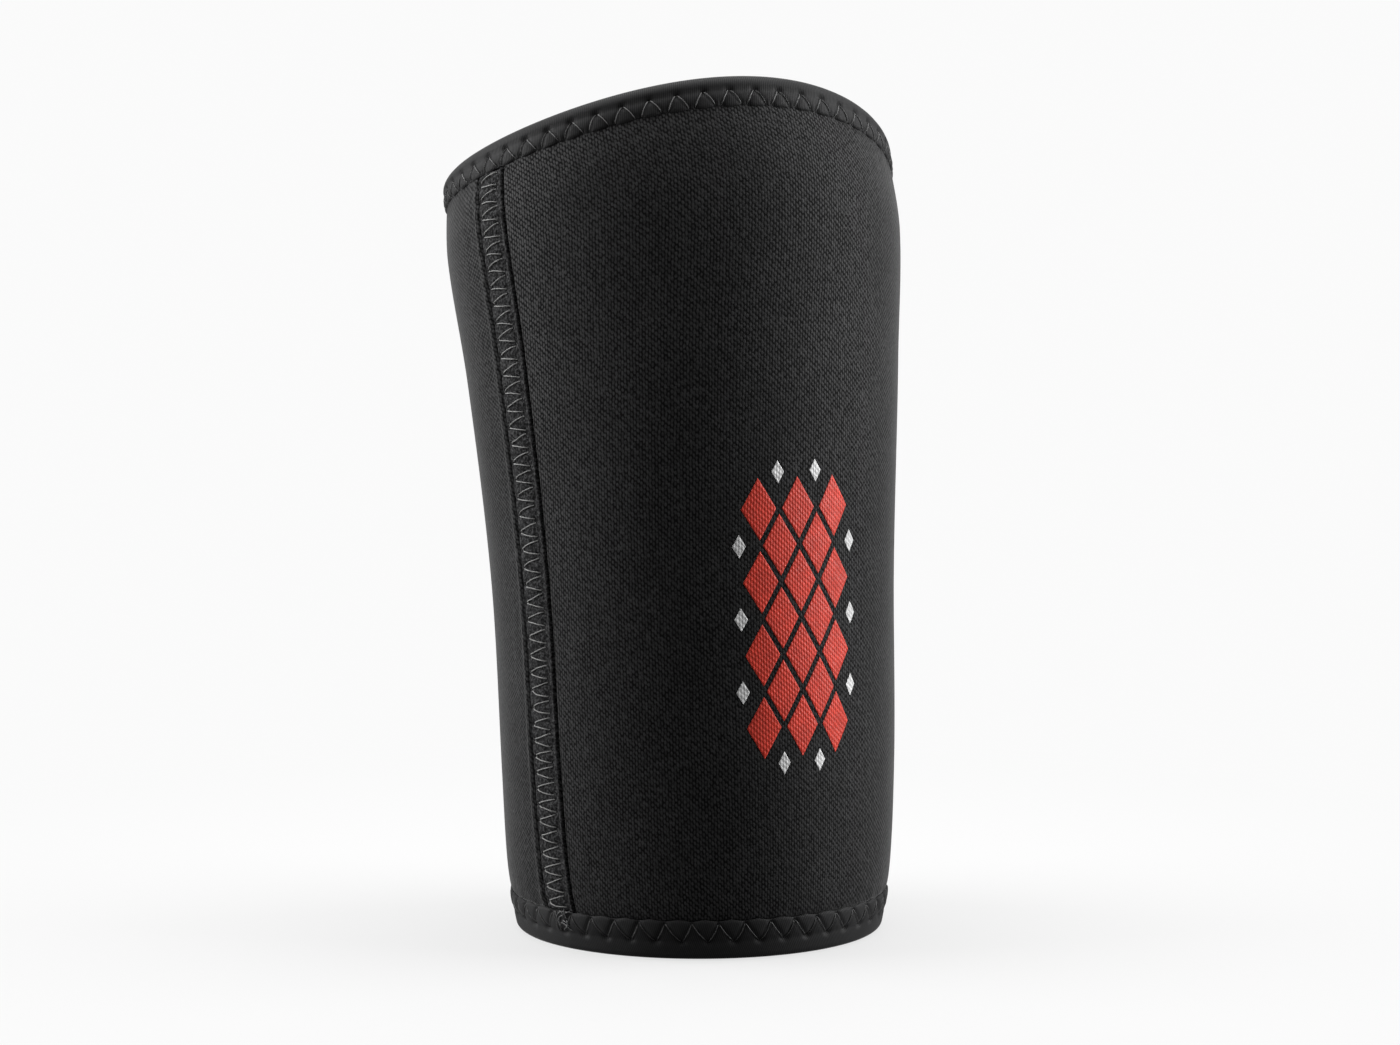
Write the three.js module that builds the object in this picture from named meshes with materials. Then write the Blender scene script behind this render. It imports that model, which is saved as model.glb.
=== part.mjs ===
// A foam-rubber elbow sleeve standing on its forearm end: a hollow, slightly bent tube with a
// folded tape round each rim and a flat tape over the seam that closes the tube.
// Millimetres, +Z up. The front faces -Y, and the top leans back towards +Y and to the left, -X.

import * as THREE from "three";

// Tube
const SLEEVE_LENGTH = 194.7; // along the axis, from the floor to the top rim
const BEND_START = 60; // length at which the axis starts to lean back
const BEND_BACK = 18.6; // degrees of lean away from the front at the top rim
const LEAN_LEFT = 4.8; // degrees of lean to the left at the top rim
const RIM_WAVE = 3; // rise and fall of the soft top rim
const RIM_WAVE_TURN = 33.5; // degrees from the front to the wave's crest

// Outer radius of the round section at lengths along the axis
const SECTIONS = [
  { length: 0, radius: 45.8 },
  { length: 12, radius: 48.1 },
  { length: 40, radius: 49.6 },
  { length: 90, radius: 50.8 },
  { length: 140, radius: 54.4 },
  { length: 172, radius: 57.5 },
  { length: 187, radius: 56.8 },
  { length: 203, radius: 55.5 },
];

// Wall
const WALL = 5; // foam with its two cloth faces
const PRESSED = 0.9; // how far a face is pressed in under a tape
const SHOULDER = 1.2; // width of the slope from a free face to a pressed one

// Tapes
const TAPE = 0.9; // thickness of a tape
const GAP = 0.3; // clearance between a tape and the wall
const TOP_BINDING = { height: 8, cornerRadius: 1.2 }; // the corner is that of the wall's edge inside
const BOTTOM_BINDING = { height: 9.8, cornerRadius: 0.3 };
const SEAM_HALF = 5.25; // half of the seam tape's width
const SEAM_TURN = { bottom: -46.5, top: -51 }; // degrees from the front to the seam's middle line

// The seam tape's outer face, from its sewn-down left edge to the raised lip on its right
const SEAM_FACE = [
  { across: -1, rise: 0.0 },
  { across: -0.5, rise: 0.3 },
  { across: 0, rise: 0.3 },
  { across: 0.5, rise: 0.3 },
  { across: 1, rise: 0.5 },
];

// Fineness of the facets
const ROUND_STEPS = 51; // columns round the sleeve apart from those at the seam
const FREE_ROWS = 12; // rows along each face between the bindings
const CORNER_STEPS = 3; // facets of each rounded corner of an edge
const AXIS_STEP = 2; // spacing of the points that the axis curve runs through

const CHANNEL_HALF = SEAM_HALF + GAP;
const CHANNEL_EDGE = CHANNEL_HALF + SHOULDER;
const CORE_HALF = WALL / 2 - PRESSED; // half of the wall's thickness inside a binding
const { degToRad, clamp, lerp } = THREE.MathUtils;

// Radius between the table's rows: a cubic that takes its slope at a row from the neighbours
function radiusSlope(row) {
  const before = SECTIONS[Math.max(row - 1, 0)];
  const after = SECTIONS[Math.min(row + 1, SECTIONS.length - 1)];
  return (after.radius - before.radius) / (after.length - before.length);
}

function radiusAt(length) {
  let row = 0;
  while (row < SECTIONS.length - 2 && length > SECTIONS[row + 1].length) {
    row += 1;
  }
  const from = SECTIONS[row];
  const to = SECTIONS[row + 1];
  const span = to.length - from.length;
  const t = (length - from.length) / span;
  const rest = 1 - t;
  return from.radius * (1 + 2 * t) * rest ** 2 + to.radius * (3 - 2 * t) * t ** 2
    + span * (radiusSlope(row) * t * rest ** 2 - radiusSlope(row + 1) * t ** 2 * rest);
}

// Axis of the tube: straight up from the floor, then leaning back and to the left
function axisDirection(length) {
  const bent = Math.max(0, (length - BEND_START) / (SLEEVE_LENGTH - BEND_START));
  const back = degToRad(BEND_BACK) * bent;
  const left = degToRad(LEAN_LEFT) * Math.max(0, length / SLEEVE_LENGTH);
  return new THREE.Vector3(-Math.sin(left), Math.sin(back), Math.cos(back) * Math.cos(left)).normalize();
}

function makeAxis() {
  const points = [new THREE.Vector3()];
  const steps = Math.ceil((SLEEVE_LENGTH + 2 * RIM_WAVE) / AXIS_STEP);
  for (let step = 0; step < steps; step += 1) {
    const direction = axisDirection((step + 0.5) * AXIS_STEP);
    points.push(points[step].clone().addScaledVector(direction, AXIS_STEP));
  }
  const curve = new THREE.CatmullRomCurve3(points);
  return (length) => curve.getPoint(length / (steps * AXIS_STEP));
}

const axisPoint = makeAxis();

// Point on the tube: turn is in degrees from the front, positive to the right,
// and offset is outwards from the wall's outer face
function surfacePoint(length, turn, offset) {
  const along = axisDirection(length);
  const right = new THREE.Vector3(1, 0, 0).addScaledVector(along, -along.x).normalize();
  const back = new THREE.Vector3().crossVectors(along, right);
  const radius = radiusAt(length) + offset;
  const angle = degToRad(turn);
  return axisPoint(length)
    .addScaledVector(right, radius * Math.sin(angle))
    .addScaledVector(back, -radius * Math.cos(angle));
}

function rimLength(turn) {
  return SLEEVE_LENGTH + RIM_WAVE * Math.cos(2 * degToRad(turn - RIM_WAVE_TURN));
}

// Columns round the tube: those at the seam keep their distance across it,
// and the others share the rest of the way round evenly
function makeColumns() {
  const columns = [-CHANNEL_HALF, -CHANNEL_HALF / 2, 0, CHANNEL_HALF / 2, CHANNEL_HALF]
    .map((across) => ({ across, pressed: true }));
  for (let step = 0; step <= ROUND_STEPS; step += 1) {
    columns.push({ share: step / ROUND_STEPS, pressed: false });
  }
  return columns;
}

function columnTurn(column, length) {
  const perDegree = degToRad(1) * radiusAt(length);
  const seam = lerp(SEAM_TURN.bottom, SEAM_TURN.top, clamp(length / SLEEVE_LENGTH, 0, 1));
  const edge = CHANNEL_EDGE / perDegree;
  if (column.share === undefined) {
    return seam + column.across / perDegree;
  }
  return seam + edge + column.share * (360 - 2 * edge);
}

function columnTop(column) {
  return rimLength(columnTurn(column, SLEEVE_LENGTH));
}

function columnPoint(column, length, offset) {
  return surfacePoint(length, columnTurn(column, length), offset);
}

// Outline of an edge that is rounded at both corners, from the outer face over to the inner one.
// Each point has its offset from the wall's outer face and its depth from the binding's own edge.
function edgeOutline(binding, spread) {
  const radius = binding.cornerRadius + spread;
  const flat = CORE_HALF - binding.cornerRadius;
  const centreDepth = TAPE + GAP + binding.cornerRadius;
  const points = [];
  for (const side of [1, -1]) {
    for (let step = 0; step <= CORNER_STEPS; step += 1) {
      const share = side > 0 ? step / CORNER_STEPS : 1 - step / CORNER_STEPS;
      const angle = share * Math.PI / 2;
      points.push({
        offset: -WALL / 2 + side * (flat + radius * Math.cos(angle)),
        depth: centreDepth - radius * Math.sin(angle),
      });
    }
  }
  return points;
}

// Section of a binding: the tape's visible face over the edge, then back along its hidden face
function bindingOutline(binding) {
  const visible = edgeOutline(binding, GAP + TAPE);
  const hidden = edgeOutline(binding, GAP).reverse();
  const leg = (point) => ({ offset: point.offset, depth: binding.height });
  return [
    leg(visible[0]),
    ...visible,
    leg(visible[visible.length - 1]),
    leg(hidden[0]),
    ...hidden,
    leg(hidden[hidden.length - 1]),
  ];
}

// Section of the wall in one column, as a closed loop: up the outer face, over the top edge,
// down the inner face and under the bottom edge
function wallOutline(column) {
  const top = columnTop(column);
  const low = BOTTOM_BINDING.height + GAP;
  const high = top - TOP_BINDING.height - GAP;
  const outer = [{ length: low, offset: -PRESSED }];
  const inner = [{ length: low, offset: -WALL + PRESSED }];
  for (let row = 0; row <= FREE_ROWS; row += 1) {
    const length = lerp(low + SHOULDER, high - SHOULDER, row / FREE_ROWS);
    outer.push({ length, offset: column.pressed ? -PRESSED : 0 });
    inner.push({ length, offset: -WALL });
  }
  outer.push({ length: high, offset: -PRESSED });
  inner.push({ length: high, offset: -WALL + PRESSED });
  const topEdge = edgeOutline(TOP_BINDING, 0)
    .map(({ offset, depth }) => ({ offset, length: top - depth }));
  const bottomEdge = edgeOutline(BOTTOM_BINDING, 0)
    .map(({ offset, depth }) => ({ offset, length: depth }));
  return [...outer, ...topEdge, ...inner.reverse(), ...bottomEdge.reverse()];
}

// Closed solid through rings of points that all run the same way. The last ring meets the first,
// or both ends are capped.
function loft(rings, joined) {
  const size = rings[0].length;
  const positions = rings.flat().flatMap((point) => point.toArray());
  const indices = [];
  const spans = joined ? rings.length : rings.length - 1;
  for (let span = 0; span < spans; span += 1) {
    const here = span * size;
    const next = ((span + 1) % rings.length) * size;
    for (let side = 0; side < size; side += 1) {
      const after = (side + 1) % size;
      indices.push(here + side, next + side, next + after);
      indices.push(here + side, next + after, here + after);
    }
  }
  if (!joined) {
    const last = (rings.length - 1) * size;
    for (let side = 1; side < size - 1; side += 1) {
      indices.push(0, side, side + 1);
      indices.push(last, last + side + 1, last + side);
    }
  }
  const geometry = new THREE.BufferGeometry();
  geometry.setAttribute("position", new THREE.Float32BufferAttribute(positions, 3));
  geometry.setIndex(indices);
  geometry.computeVertexNormals();
  return geometry;
}

function makeBody(columns) {
  const rings = columns.map((column) => wallOutline(column)
    .map(({ length, offset }) => columnPoint(column, length, offset)));
  return loft(rings, true);
}

function makeTopBinding(columns) {
  const outline = bindingOutline(TOP_BINDING);
  const rings = columns.map((column) => outline
    .map(({ offset, depth }) => columnPoint(column, columnTop(column) - depth, offset)));
  return loft(rings, true);
}

function makeBottomBinding(columns) {
  const outline = bindingOutline(BOTTOM_BINDING).reverse();
  const rings = columns.map((column) => outline
    .map(({ offset, depth }) => columnPoint(column, depth, offset)));
  return loft(rings, true);
}

// The seam tape lies in the wall's pressed channel, from one binding to the other
function makeSeamTape() {
  const seat = -PRESSED + GAP;
  const section = [
    ...SEAM_FACE.map(({ across }) => ({ across: across * SEAM_HALF, offset: seat })),
    ...SEAM_FACE.map(({ across, rise }) => ({ across: across * SEAM_HALF, offset: rise })).reverse(),
  ];
  const rings = [];
  for (let row = 0; row <= FREE_ROWS; row += 1) {
    rings.push(section.map(({ across, offset }) => {
      const column = { across };
      const low = BOTTOM_BINDING.height + GAP;
      const high = columnTop(column) - TOP_BINDING.height - GAP;
      return columnPoint(column, lerp(low, high, row / FREE_ROWS), offset);
    }));
  }
  return loft(rings, false);
}

function cloth(color, roughness) {
  return new THREE.MeshStandardMaterial({ color, roughness, metalness: 0 });
}

function addPiece(group, name, geometry, material) {
  const mesh = new THREE.Mesh(geometry, material);
  mesh.name = name;
  group.add(mesh);
}

// The whole sleeve, with its origin on the floor under the middle of its box
function makeSleeve() {
  const sleeve = new THREE.Group();
  const columns = makeColumns();
  addPiece(sleeve, "sleeve_body", makeBody(columns), cloth("#2a2a2d", 0.85));
  addPiece(sleeve, "top_binding", makeTopBinding(columns), cloth("#36363a", 0.75));
  addPiece(sleeve, "bottom_binding", makeBottomBinding(columns), cloth("#303034", 0.75));
  addPiece(sleeve, "seam_tape", makeSeamTape(), cloth("#3c3c40", 0.9));
  const box = new THREE.Box3().setFromObject(sleeve, true);
  const middle = box.getCenter(new THREE.Vector3());
  sleeve.position.set(-middle.x, -middle.y, -box.min.z);
  return sleeve;
}

export default makeSleeve();
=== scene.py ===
"""Dresses a foam-rubber elbow sleeve: knitted body, folded bindings, seam tape, stitches and a print."""
import math
from collections import namedtuple

import bmesh
import bpy
import numpy as np
from bpy.props import FloatProperty, FloatVectorProperty, IntProperty, PointerProperty
from bpy.types import Operator, Panel, PropertyGroup
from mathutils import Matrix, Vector


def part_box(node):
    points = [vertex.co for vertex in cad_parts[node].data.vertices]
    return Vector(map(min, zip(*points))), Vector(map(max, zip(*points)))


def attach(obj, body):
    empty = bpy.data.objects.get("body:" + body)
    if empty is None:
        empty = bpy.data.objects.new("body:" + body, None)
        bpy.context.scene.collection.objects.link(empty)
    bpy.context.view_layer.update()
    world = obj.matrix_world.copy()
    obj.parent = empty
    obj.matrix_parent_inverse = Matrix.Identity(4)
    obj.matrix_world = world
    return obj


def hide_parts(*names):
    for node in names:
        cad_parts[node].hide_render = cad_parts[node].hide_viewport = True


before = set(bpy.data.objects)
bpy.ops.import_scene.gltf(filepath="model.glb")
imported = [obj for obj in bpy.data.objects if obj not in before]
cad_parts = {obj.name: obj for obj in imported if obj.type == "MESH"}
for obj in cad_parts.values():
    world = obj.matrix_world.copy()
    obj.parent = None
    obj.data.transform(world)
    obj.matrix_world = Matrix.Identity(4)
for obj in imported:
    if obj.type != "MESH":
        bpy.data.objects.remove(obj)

bl_info = {
    "name": "Elbow sleeve",
    "version": (1, 0, 0),
    "blender": (4, 5, 0),
    "location": "3D View > Sidebar > Sleeve",
    "description": "Builds the cloth, tapes, stitches and print of an elbow sleeve on its frame",
    "category": "Object",
}

MM = 0.001
FULL_TURN = 2 * math.pi
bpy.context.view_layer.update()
RIGID_BODY = "root"

# Tube: lengths run along its axis from the floor, and turns from the front, positive to the right
SLEEVE_LENGTH = 194.7 * MM
BEND_START = 60 * MM
BEND_BACK = math.radians(18.6)
LEAN_LEFT = math.radians(4.8)
RIM_WAVE = 3 * MM
RIM_WAVE_TURN = math.radians(33.5)
AXIS_STEP = 0.5 * MM

# The upper-arm rim opens to both sides, more to the left, less and less over this length
RIM_FLARE = 0.65 * MM
RIM_FLARE_LEFT = 0.4
RIM_FLARE_LENGTH = 10 * MM

# Outer radius of the round section at lengths along the axis
Section = namedtuple("Section", "length radius")
SECTIONS = [
    Section(length=0 * MM, radius=45.8 * MM),
    Section(length=12 * MM, radius=48.1 * MM),
    Section(length=40 * MM, radius=49.6 * MM),
    Section(length=90 * MM, radius=50.8 * MM),
    Section(length=140 * MM, radius=54.4 * MM),
    Section(length=172 * MM, radius=57.5 * MM),
    Section(length=187 * MM, radius=56.8 * MM),
    Section(length=203 * MM, radius=55.5 * MM),
]

# Share of the tube's taper that the flat cloth is cut with
CLOTH_TAPER = 0.4

# Seam line, from the forearm rim to the upper-arm rim
SEAM_TURN_BOTTOM = math.radians(-47.1)
SEAM_TURN_TOP = math.radians(-51)

# Where its stitching starts, the seam is pulled to the right, less and less over this length
SEAM_PULL = math.radians(4)
SEAM_PULL_LENGTH = 14 * MM

# Its zigzag climbs to the right by this slope at the forearm rim and no more at this length
SEAM_CLIMB = 0.11
SEAM_CLIMB_END = 230 * MM

# Folded bindings: height, corner of the wall's edge inside, depths that the zigzag runs between, its pitch,
# how far the left and right legs of a stitch reach as shares of it, depth of the groove under the thread,
# how far the tape's edge waves between the points and is tucked in, how far it draws in the sleeve and over
# what length, and how far its stitches pull in the cloth beside it
Binding = namedtuple("Binding", "height corner near far pitch reach groove scallop tuck waist fade pull")
TOP_BINDING = Binding(
    height=7.5 * MM, corner=1.5 * MM, near=3.8 * MM, far=7.0 * MM, pitch=6.5 * MM, reach=(0.32, 0.43),
    groove=0.18 * MM, scallop=0.35 * MM, tuck=0.5 * MM, waist=0.5 * MM, fade=4.5 * MM, pull=0.08 * MM)
BOTTOM_BINDING = Binding(
    height=9.8 * MM, corner=0.3 * MM, near=4.6 * MM, far=9.1 * MM, pitch=6.2 * MM, reach=(0.5, 0.5),
    groove=0.25 * MM, scallop=0.5 * MM, tuck=0.2 * MM, waist=0.4 * MM, fade=3 * MM, pull=0.3 * MM)

# Fineness of the meshes
ROUND_STEPS = 220
OUTER_ROWS = 190
INNER_ROWS = 60
BINDING_COLUMNS_PER_STITCH = 14
CORNER_STEPS = 7
HIDDEN_CORNER_STEPS = 2
LEG_STEPS = 26
TIP_STEPS = 3


# Settings


def length_setting(name, description, default):
    """Setting of a length in metres."""
    return FloatProperty(name=name, description=description, default=default, unit="LENGTH")


def colour_setting(name, description, default):
    """Setting of a colour."""
    return FloatVectorProperty(
        name=name, description=description, default=default, subtype="COLOR", min=0, max=1)


class SleeveShape(PropertyGroup):
    """Sizes of the wall and its tapes."""

    wall: length_setting("Wall", "Thickness of the foam with its two cloth faces", 5.0 * MM)
    pressed: length_setting("Pressed depth", "How far a face is pressed in under a tape", 0.9 * MM)
    shoulder: length_setting(
        "Shoulder", "Width of the round between a free face and one pressed by a binding", 0.3 * MM)
    left_shoulder: length_setting(
        "Left shoulder", "Width of the round beside the seam tape's left edge", 1.1 * MM)
    right_shoulder: length_setting(
        "Right shoulder", "Width of the round beside the seam tape's right edge", 0.4 * MM)
    tape: length_setting("Tape", "Thickness of the bindings and the seam tape", 0.9 * MM)
    gap: length_setting("Gap", "Clearance between a tape and the wall", 0.3 * MM)
    seam_half: length_setting("Seam half width", "Half of the seam tape's width", 5.05 * MM)
    edge_gap: length_setting("Edge gap", "Clearance between a binding's edge and the free wall", 0.1 * MM)
    tip: length_setting("Tip", "Radius of the round at a binding's edge", 0.2 * MM)
    waviness: length_setting("Waviness", "Slow rise and fall of the soft wall", 0.2 * MM)


class StitchSizes(PropertyGroup):
    """Sizes of the thread and of the puckers that it pulls."""

    seam_pitch: length_setting("Seam pitch", "Length of one zigzag along the seam", 4.05 * MM)
    seam_left: length_setting(
        "Left points", "Distance of the zigzag's left points from the seam's middle", 3.4 * MM)
    seam_right: length_setting(
        "Right points", "Distance of the zigzag's right points from the seam's middle", 2.5 * MM)
    thread_radius: length_setting("Thread radius", "Half of the thread's thickness", 0.17 * MM)
    apart: FloatProperty(
        name="Apart", description="Share of the pitch from a whole zigzag to the right end of each leg",
        default=0.12, min=0, max=0.4)
    arch: length_setting("Arch", "How far a stitch rises above its needle points", 0.28 * MM)
    sink: length_setting("Sink", "How far a stitch goes in at its needle points", 0.45 * MM)
    twist: FloatProperty(
        name="Twist", description="Turn of the thread's strands per metre, in radians",
        default=4200.0)
    groove: length_setting("Seam groove", "Depth of the groove under a stitch of the seam", 0.2 * MM)
    pit: length_setting("Pit", "Depth of the dimple at a needle point", 0.34 * MM)


class PrintSizes(PropertyGroup):
    """Sizes of the printed lattice of lozenges."""

    turn: FloatProperty(
        name="Turn", description="Turn from the front to the middle of the print",
        default=math.radians(31), subtype="ANGLE", unit="ROTATION")
    middle: length_setting("Middle", "Length along the sleeve to the middle of the print", 80 * MM)
    width: length_setting("Lozenge width", "Width of one lozenge", 10.5 * MM)
    height: length_setting("Lozenge height", "Height of one lozenge", 17.5 * MM)
    line: length_setting("Line", "Bare line between two lozenges", 1.3 * MM)
    small: FloatProperty(
        name="Small lozenges", description="Size of the notches' lozenges as a share of the others",
        default=0.32, min=0, max=1)
    film: length_setting("Film", "Thickness of the printed film", 0.07 * MM)
    columns: IntProperty(
        name="Columns", description="Lozenges side by side in a full row", default=3, min=1)
    rows: IntProperty(
        name="Rows", description="Full rows of lozenges", default=4, min=1)


class ClothColours(PropertyGroup):
    """Colours of the cloths, tapes, threads and films."""

    yarn: colour_setting("Yarn", "Colour of the knitted yarn", (0.0235, 0.0235, 0.024))
    # Hole colour is painted shade in the gaps between the loops, on the outer knit and the lining
    hole: colour_setting("Hole", "Colour between the knitted yarns", (0.0015, 0.0015, 0.0016))
    lining: colour_setting("Lining", "Colour of the cloth inside", (0.011, 0.011, 0.0115))
    binding: colour_setting("Binding", "Colour of the folded bindings", (0.0188, 0.0188, 0.0193))
    seam: colour_setting("Seam tape", "Colour of the seam tape", (0.0215, 0.0215, 0.022))
    seam_thread: colour_setting("Seam thread", "Colour of the thread on the seam tape", (0.22, 0.22, 0.215))
    # One binding thread in two painted copies: the rim thread, also the tack's colour, is painted lit on the
    # top binding's open legs
    rim_thread: colour_setting(
        "Rim thread", "Colour of the tack and of open legs on the top binding", (0.12, 0.12, 0.12))
    # The darker thread is the same thread's painted shade copy, on all other legs of both bindings
    painted_shade_thread: colour_setting(
        "Sunk thread", "Colour of all other legs on the bindings", (0.045, 0.045, 0.045))
    red: colour_setting("Red film", "Colour of the printed lozenges", (0.61, 0.042, 0.023))
    white: colour_setting("White film", "Colour of the small printed lozenges", (0.7, 0.7, 0.7))


class StageSettings(PropertyGroup):
    """Camera, lights and floor."""

    distance: length_setting(
        "Camera distance", "Distance of the camera in front of the forearm rim's middle", 0.9)
    camera_height: length_setting("Camera height", "Height of the camera above the floor", 0.17714)
    aim_height: length_setting("Aim height", "Height of the point that the camera looks at", 0.10206)
    aside: length_setting(
        "Aside", "How far the camera stands to the right of the forearm rim's middle", 0.0002)
    focal_pixels: FloatProperty(
        name="Focal length", description="Focal length in pixels of the image", default=3589.0)
    side_power: FloatProperty(
        name="Side lights", description="Power in watts that each side light gives a share of", default=30.0)
    top_power: FloatProperty(
        name="Top light", description="Power of the light overhead in watts", default=22.0)
    fill: FloatProperty(
        name="Fill", description="Brightness of the room's even light", default=0.15)
    backdrop: FloatProperty(
        name="Backdrop", description="Brightness of the plain backdrop", default=0.96)


# Shape of the tube


def radius_at(length):
    """Outer radius at lengths along the axis: a cubic whose slope at a section comes from its neighbours."""
    lengths = np.array([section.length for section in SECTIONS])
    radii = np.array([section.radius for section in SECTIONS])
    last = len(SECTIONS) - 1
    before = np.maximum(np.arange(last + 1) - 1, 0)
    after = np.minimum(np.arange(last + 1) + 1, last)
    slopes = (radii[after] - radii[before]) / (lengths[after] - lengths[before])
    row = np.clip(np.searchsorted(lengths, length) - 1, 0, last - 1)
    span = lengths[row + 1] - lengths[row]
    t = (length - lengths[row]) / span
    rest = 1 - t
    ends = radii[row] * (1 + 2 * t) * rest ** 2 + radii[row + 1] * (3 - 2 * t) * t ** 2
    return ends + span * (slopes[row] * t * rest ** 2 - slopes[row + 1] * t ** 2 * rest)


def lean_back(length):
    """Lean of the axis away from the front."""
    return BEND_BACK * np.maximum(0, (length - BEND_START) / (SLEEVE_LENGTH - BEND_START))


def axis_direction(length):
    """Unit vectors along the axis."""
    back = lean_back(length)
    left = LEAN_LEFT * np.maximum(0, length / SLEEVE_LENGTH)
    direction = np.stack([-np.sin(left), np.sin(back), np.cos(back) * np.cos(left)], axis=-1)
    return direction / np.linalg.norm(direction, axis=-1, keepdims=True)


def make_axis():
    """Lengths along the axis and the points there, from the middle of the forearm rim."""
    low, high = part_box("bottom_binding")
    start = np.array([(low[0] + high[0]) / 2, (low[1] + high[1]) / 2, 0.0])
    middles = np.arange(0, SLEEVE_LENGTH + 4 * RIM_WAVE, AXIS_STEP) + AXIS_STEP / 2
    steps = np.cumsum(axis_direction(middles) * AXIS_STEP, axis=0)
    lengths = np.concatenate([[0], middles + AXIS_STEP / 2])
    return lengths, np.concatenate([[start], start + steps])


AXIS_LENGTHS, AXIS_POINTS = make_axis()


def section_axes(length):
    """Middle of the sections and their unit vectors to the right and to the back."""
    along = axis_direction(length)
    right = np.array([1.0, 0.0, 0.0]) - along * along[..., :1]
    right /= np.linalg.norm(right, axis=-1, keepdims=True)
    middle = np.stack([np.interp(length, AXIS_LENGTHS, AXIS_POINTS[:, k]) for k in range(3)], axis=-1)
    return middle, right, np.cross(along, right)


def turned(right, back, turn):
    """Unit vectors out of the tube at turns, from those of the sections."""
    return right * np.sin(turn)[..., None] - back * np.cos(turn)[..., None]


def outward(length, turn):
    """Unit vectors out of the tube at lengths and turns."""
    _, right, back = section_axes(length)
    return turned(right, back, turn)


def rim_length(turn):
    """Length along the axis to the top rim, which waves a little."""
    return SLEEVE_LENGTH + RIM_WAVE * np.cos(2 * (turn - RIM_WAVE_TURN))


def waist(length, turn):
    """How far the sleeve is drawn in beside the edges of its bindings."""
    above = length - BOTTOM_BINDING.height
    below = rim_length(turn) - TOP_BINDING.height - length
    at_bottom = BOTTOM_BINDING.waist * np.exp(-np.abs(above) / BOTTOM_BINDING.fade)
    return at_bottom + TOP_BINDING.waist * np.exp(-np.abs(below) / TOP_BINDING.fade)


def flare(length, turn):
    """How far the sleeve opens to its sides towards the upper-arm rim."""
    below = np.maximum(rim_length(turn) - length, 0)
    side = np.sin(turn) ** 2 * (1 - RIM_FLARE_LEFT * np.sin(turn))
    return RIM_FLARE * side * np.exp(-(below / RIM_FLARE_LENGTH) ** 2)


def surface(length, turn, offset):
    """Points at an offset outwards from the wall's outer face."""
    length, turn, offset = np.broadcast_arrays(length, turn, offset)
    middle, right, back = section_axes(length)
    radius = radius_at(length) + flare(length, turn) - waist(length, turn)
    return middle + turned(right, back, turn) * (radius + offset)[..., None]


def seam_turn(length):
    """Turn of the seam's middle line."""
    share = np.clip(length / SLEEVE_LENGTH, 0, 1)
    pull = SEAM_PULL * np.exp(-np.maximum(length, 0) / SEAM_PULL_LENGTH)
    return SEAM_TURN_BOTTOM + (SEAM_TURN_TOP - SEAM_TURN_BOTTOM) * share + pull


def column_turn(share, across, length):
    """Turn of a column that goes a share of the way round from the seam, plus a distance across it."""
    return seam_turn(length) + FULL_TURN * share + across / radius_at(length)


def column_rim(share, across):
    """Length to the top rim in a column."""
    return rim_length(column_turn(share, across, SLEEVE_LENGTH))


def from_seam(share, across, length):
    """Distance round the outer face from the seam's middle, negative to its left."""
    way = FULL_TURN * share * radius_at(length) + across
    return np.where(share > 0.5, way - FULL_TURN * radius_at(length), way)


def cloth_distances(share, across, length):
    """Distances on the flat cloth: round from the line opposite the seam, and along from the floor.

    The cloth is cut with a part of the tube's taper, stretched over the rest, and fits the bend's front."""
    radius = radius_at(length)
    middle = radius_at(SLEEVE_LENGTH / 2)
    cut = middle + CLOTH_TAPER * (radius - middle)
    way = (FULL_TURN * (share - 0.5) + across / radius) * cut
    return np.stack([way, length + lean_back(length) * middle], axis=-1)


# Puckers

# Widths of the groove under a thread, of the pits at its near and far needle points, and of the pillows
GROOVE_WIDTH = 0.5 * MM
NEAR_PIT_WIDTH = 0.75 * MM
FAR_PIT_WIDTH = 0.6 * MM
PILLOW_WIDTH = 0.8 * MM

# Rise of the pillows between a stitch's legs and between two stitches, as shares of the groove's depth
PILLOW_IN_STITCH = 0.6
PILLOW_BETWEEN = 0.3

# Share of the zigzag's width over which its puckers fade past the needle points, and how many times as far
# a point counts that lies past the end of a leg
PUCKER_FADE = 0.18
PAST_LEG = 1.5

# Share of the wave of a binding's edge that lies past the binding's height
SCALLOP_CREST = 0.4


def edge_round(distance, width):
    """Share of the pressed depth at a distance from a tape's edge: a quarter round."""
    inside = np.clip(1 - distance / width, 0, 1)
    return 1 - np.sqrt(1 - inside ** 2)


def zigzag(phase):
    """Triangle wave from 0 at whole phases to 1 half way between them."""
    return 1 - np.abs(2 * (phase % 1) - 1)


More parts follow.
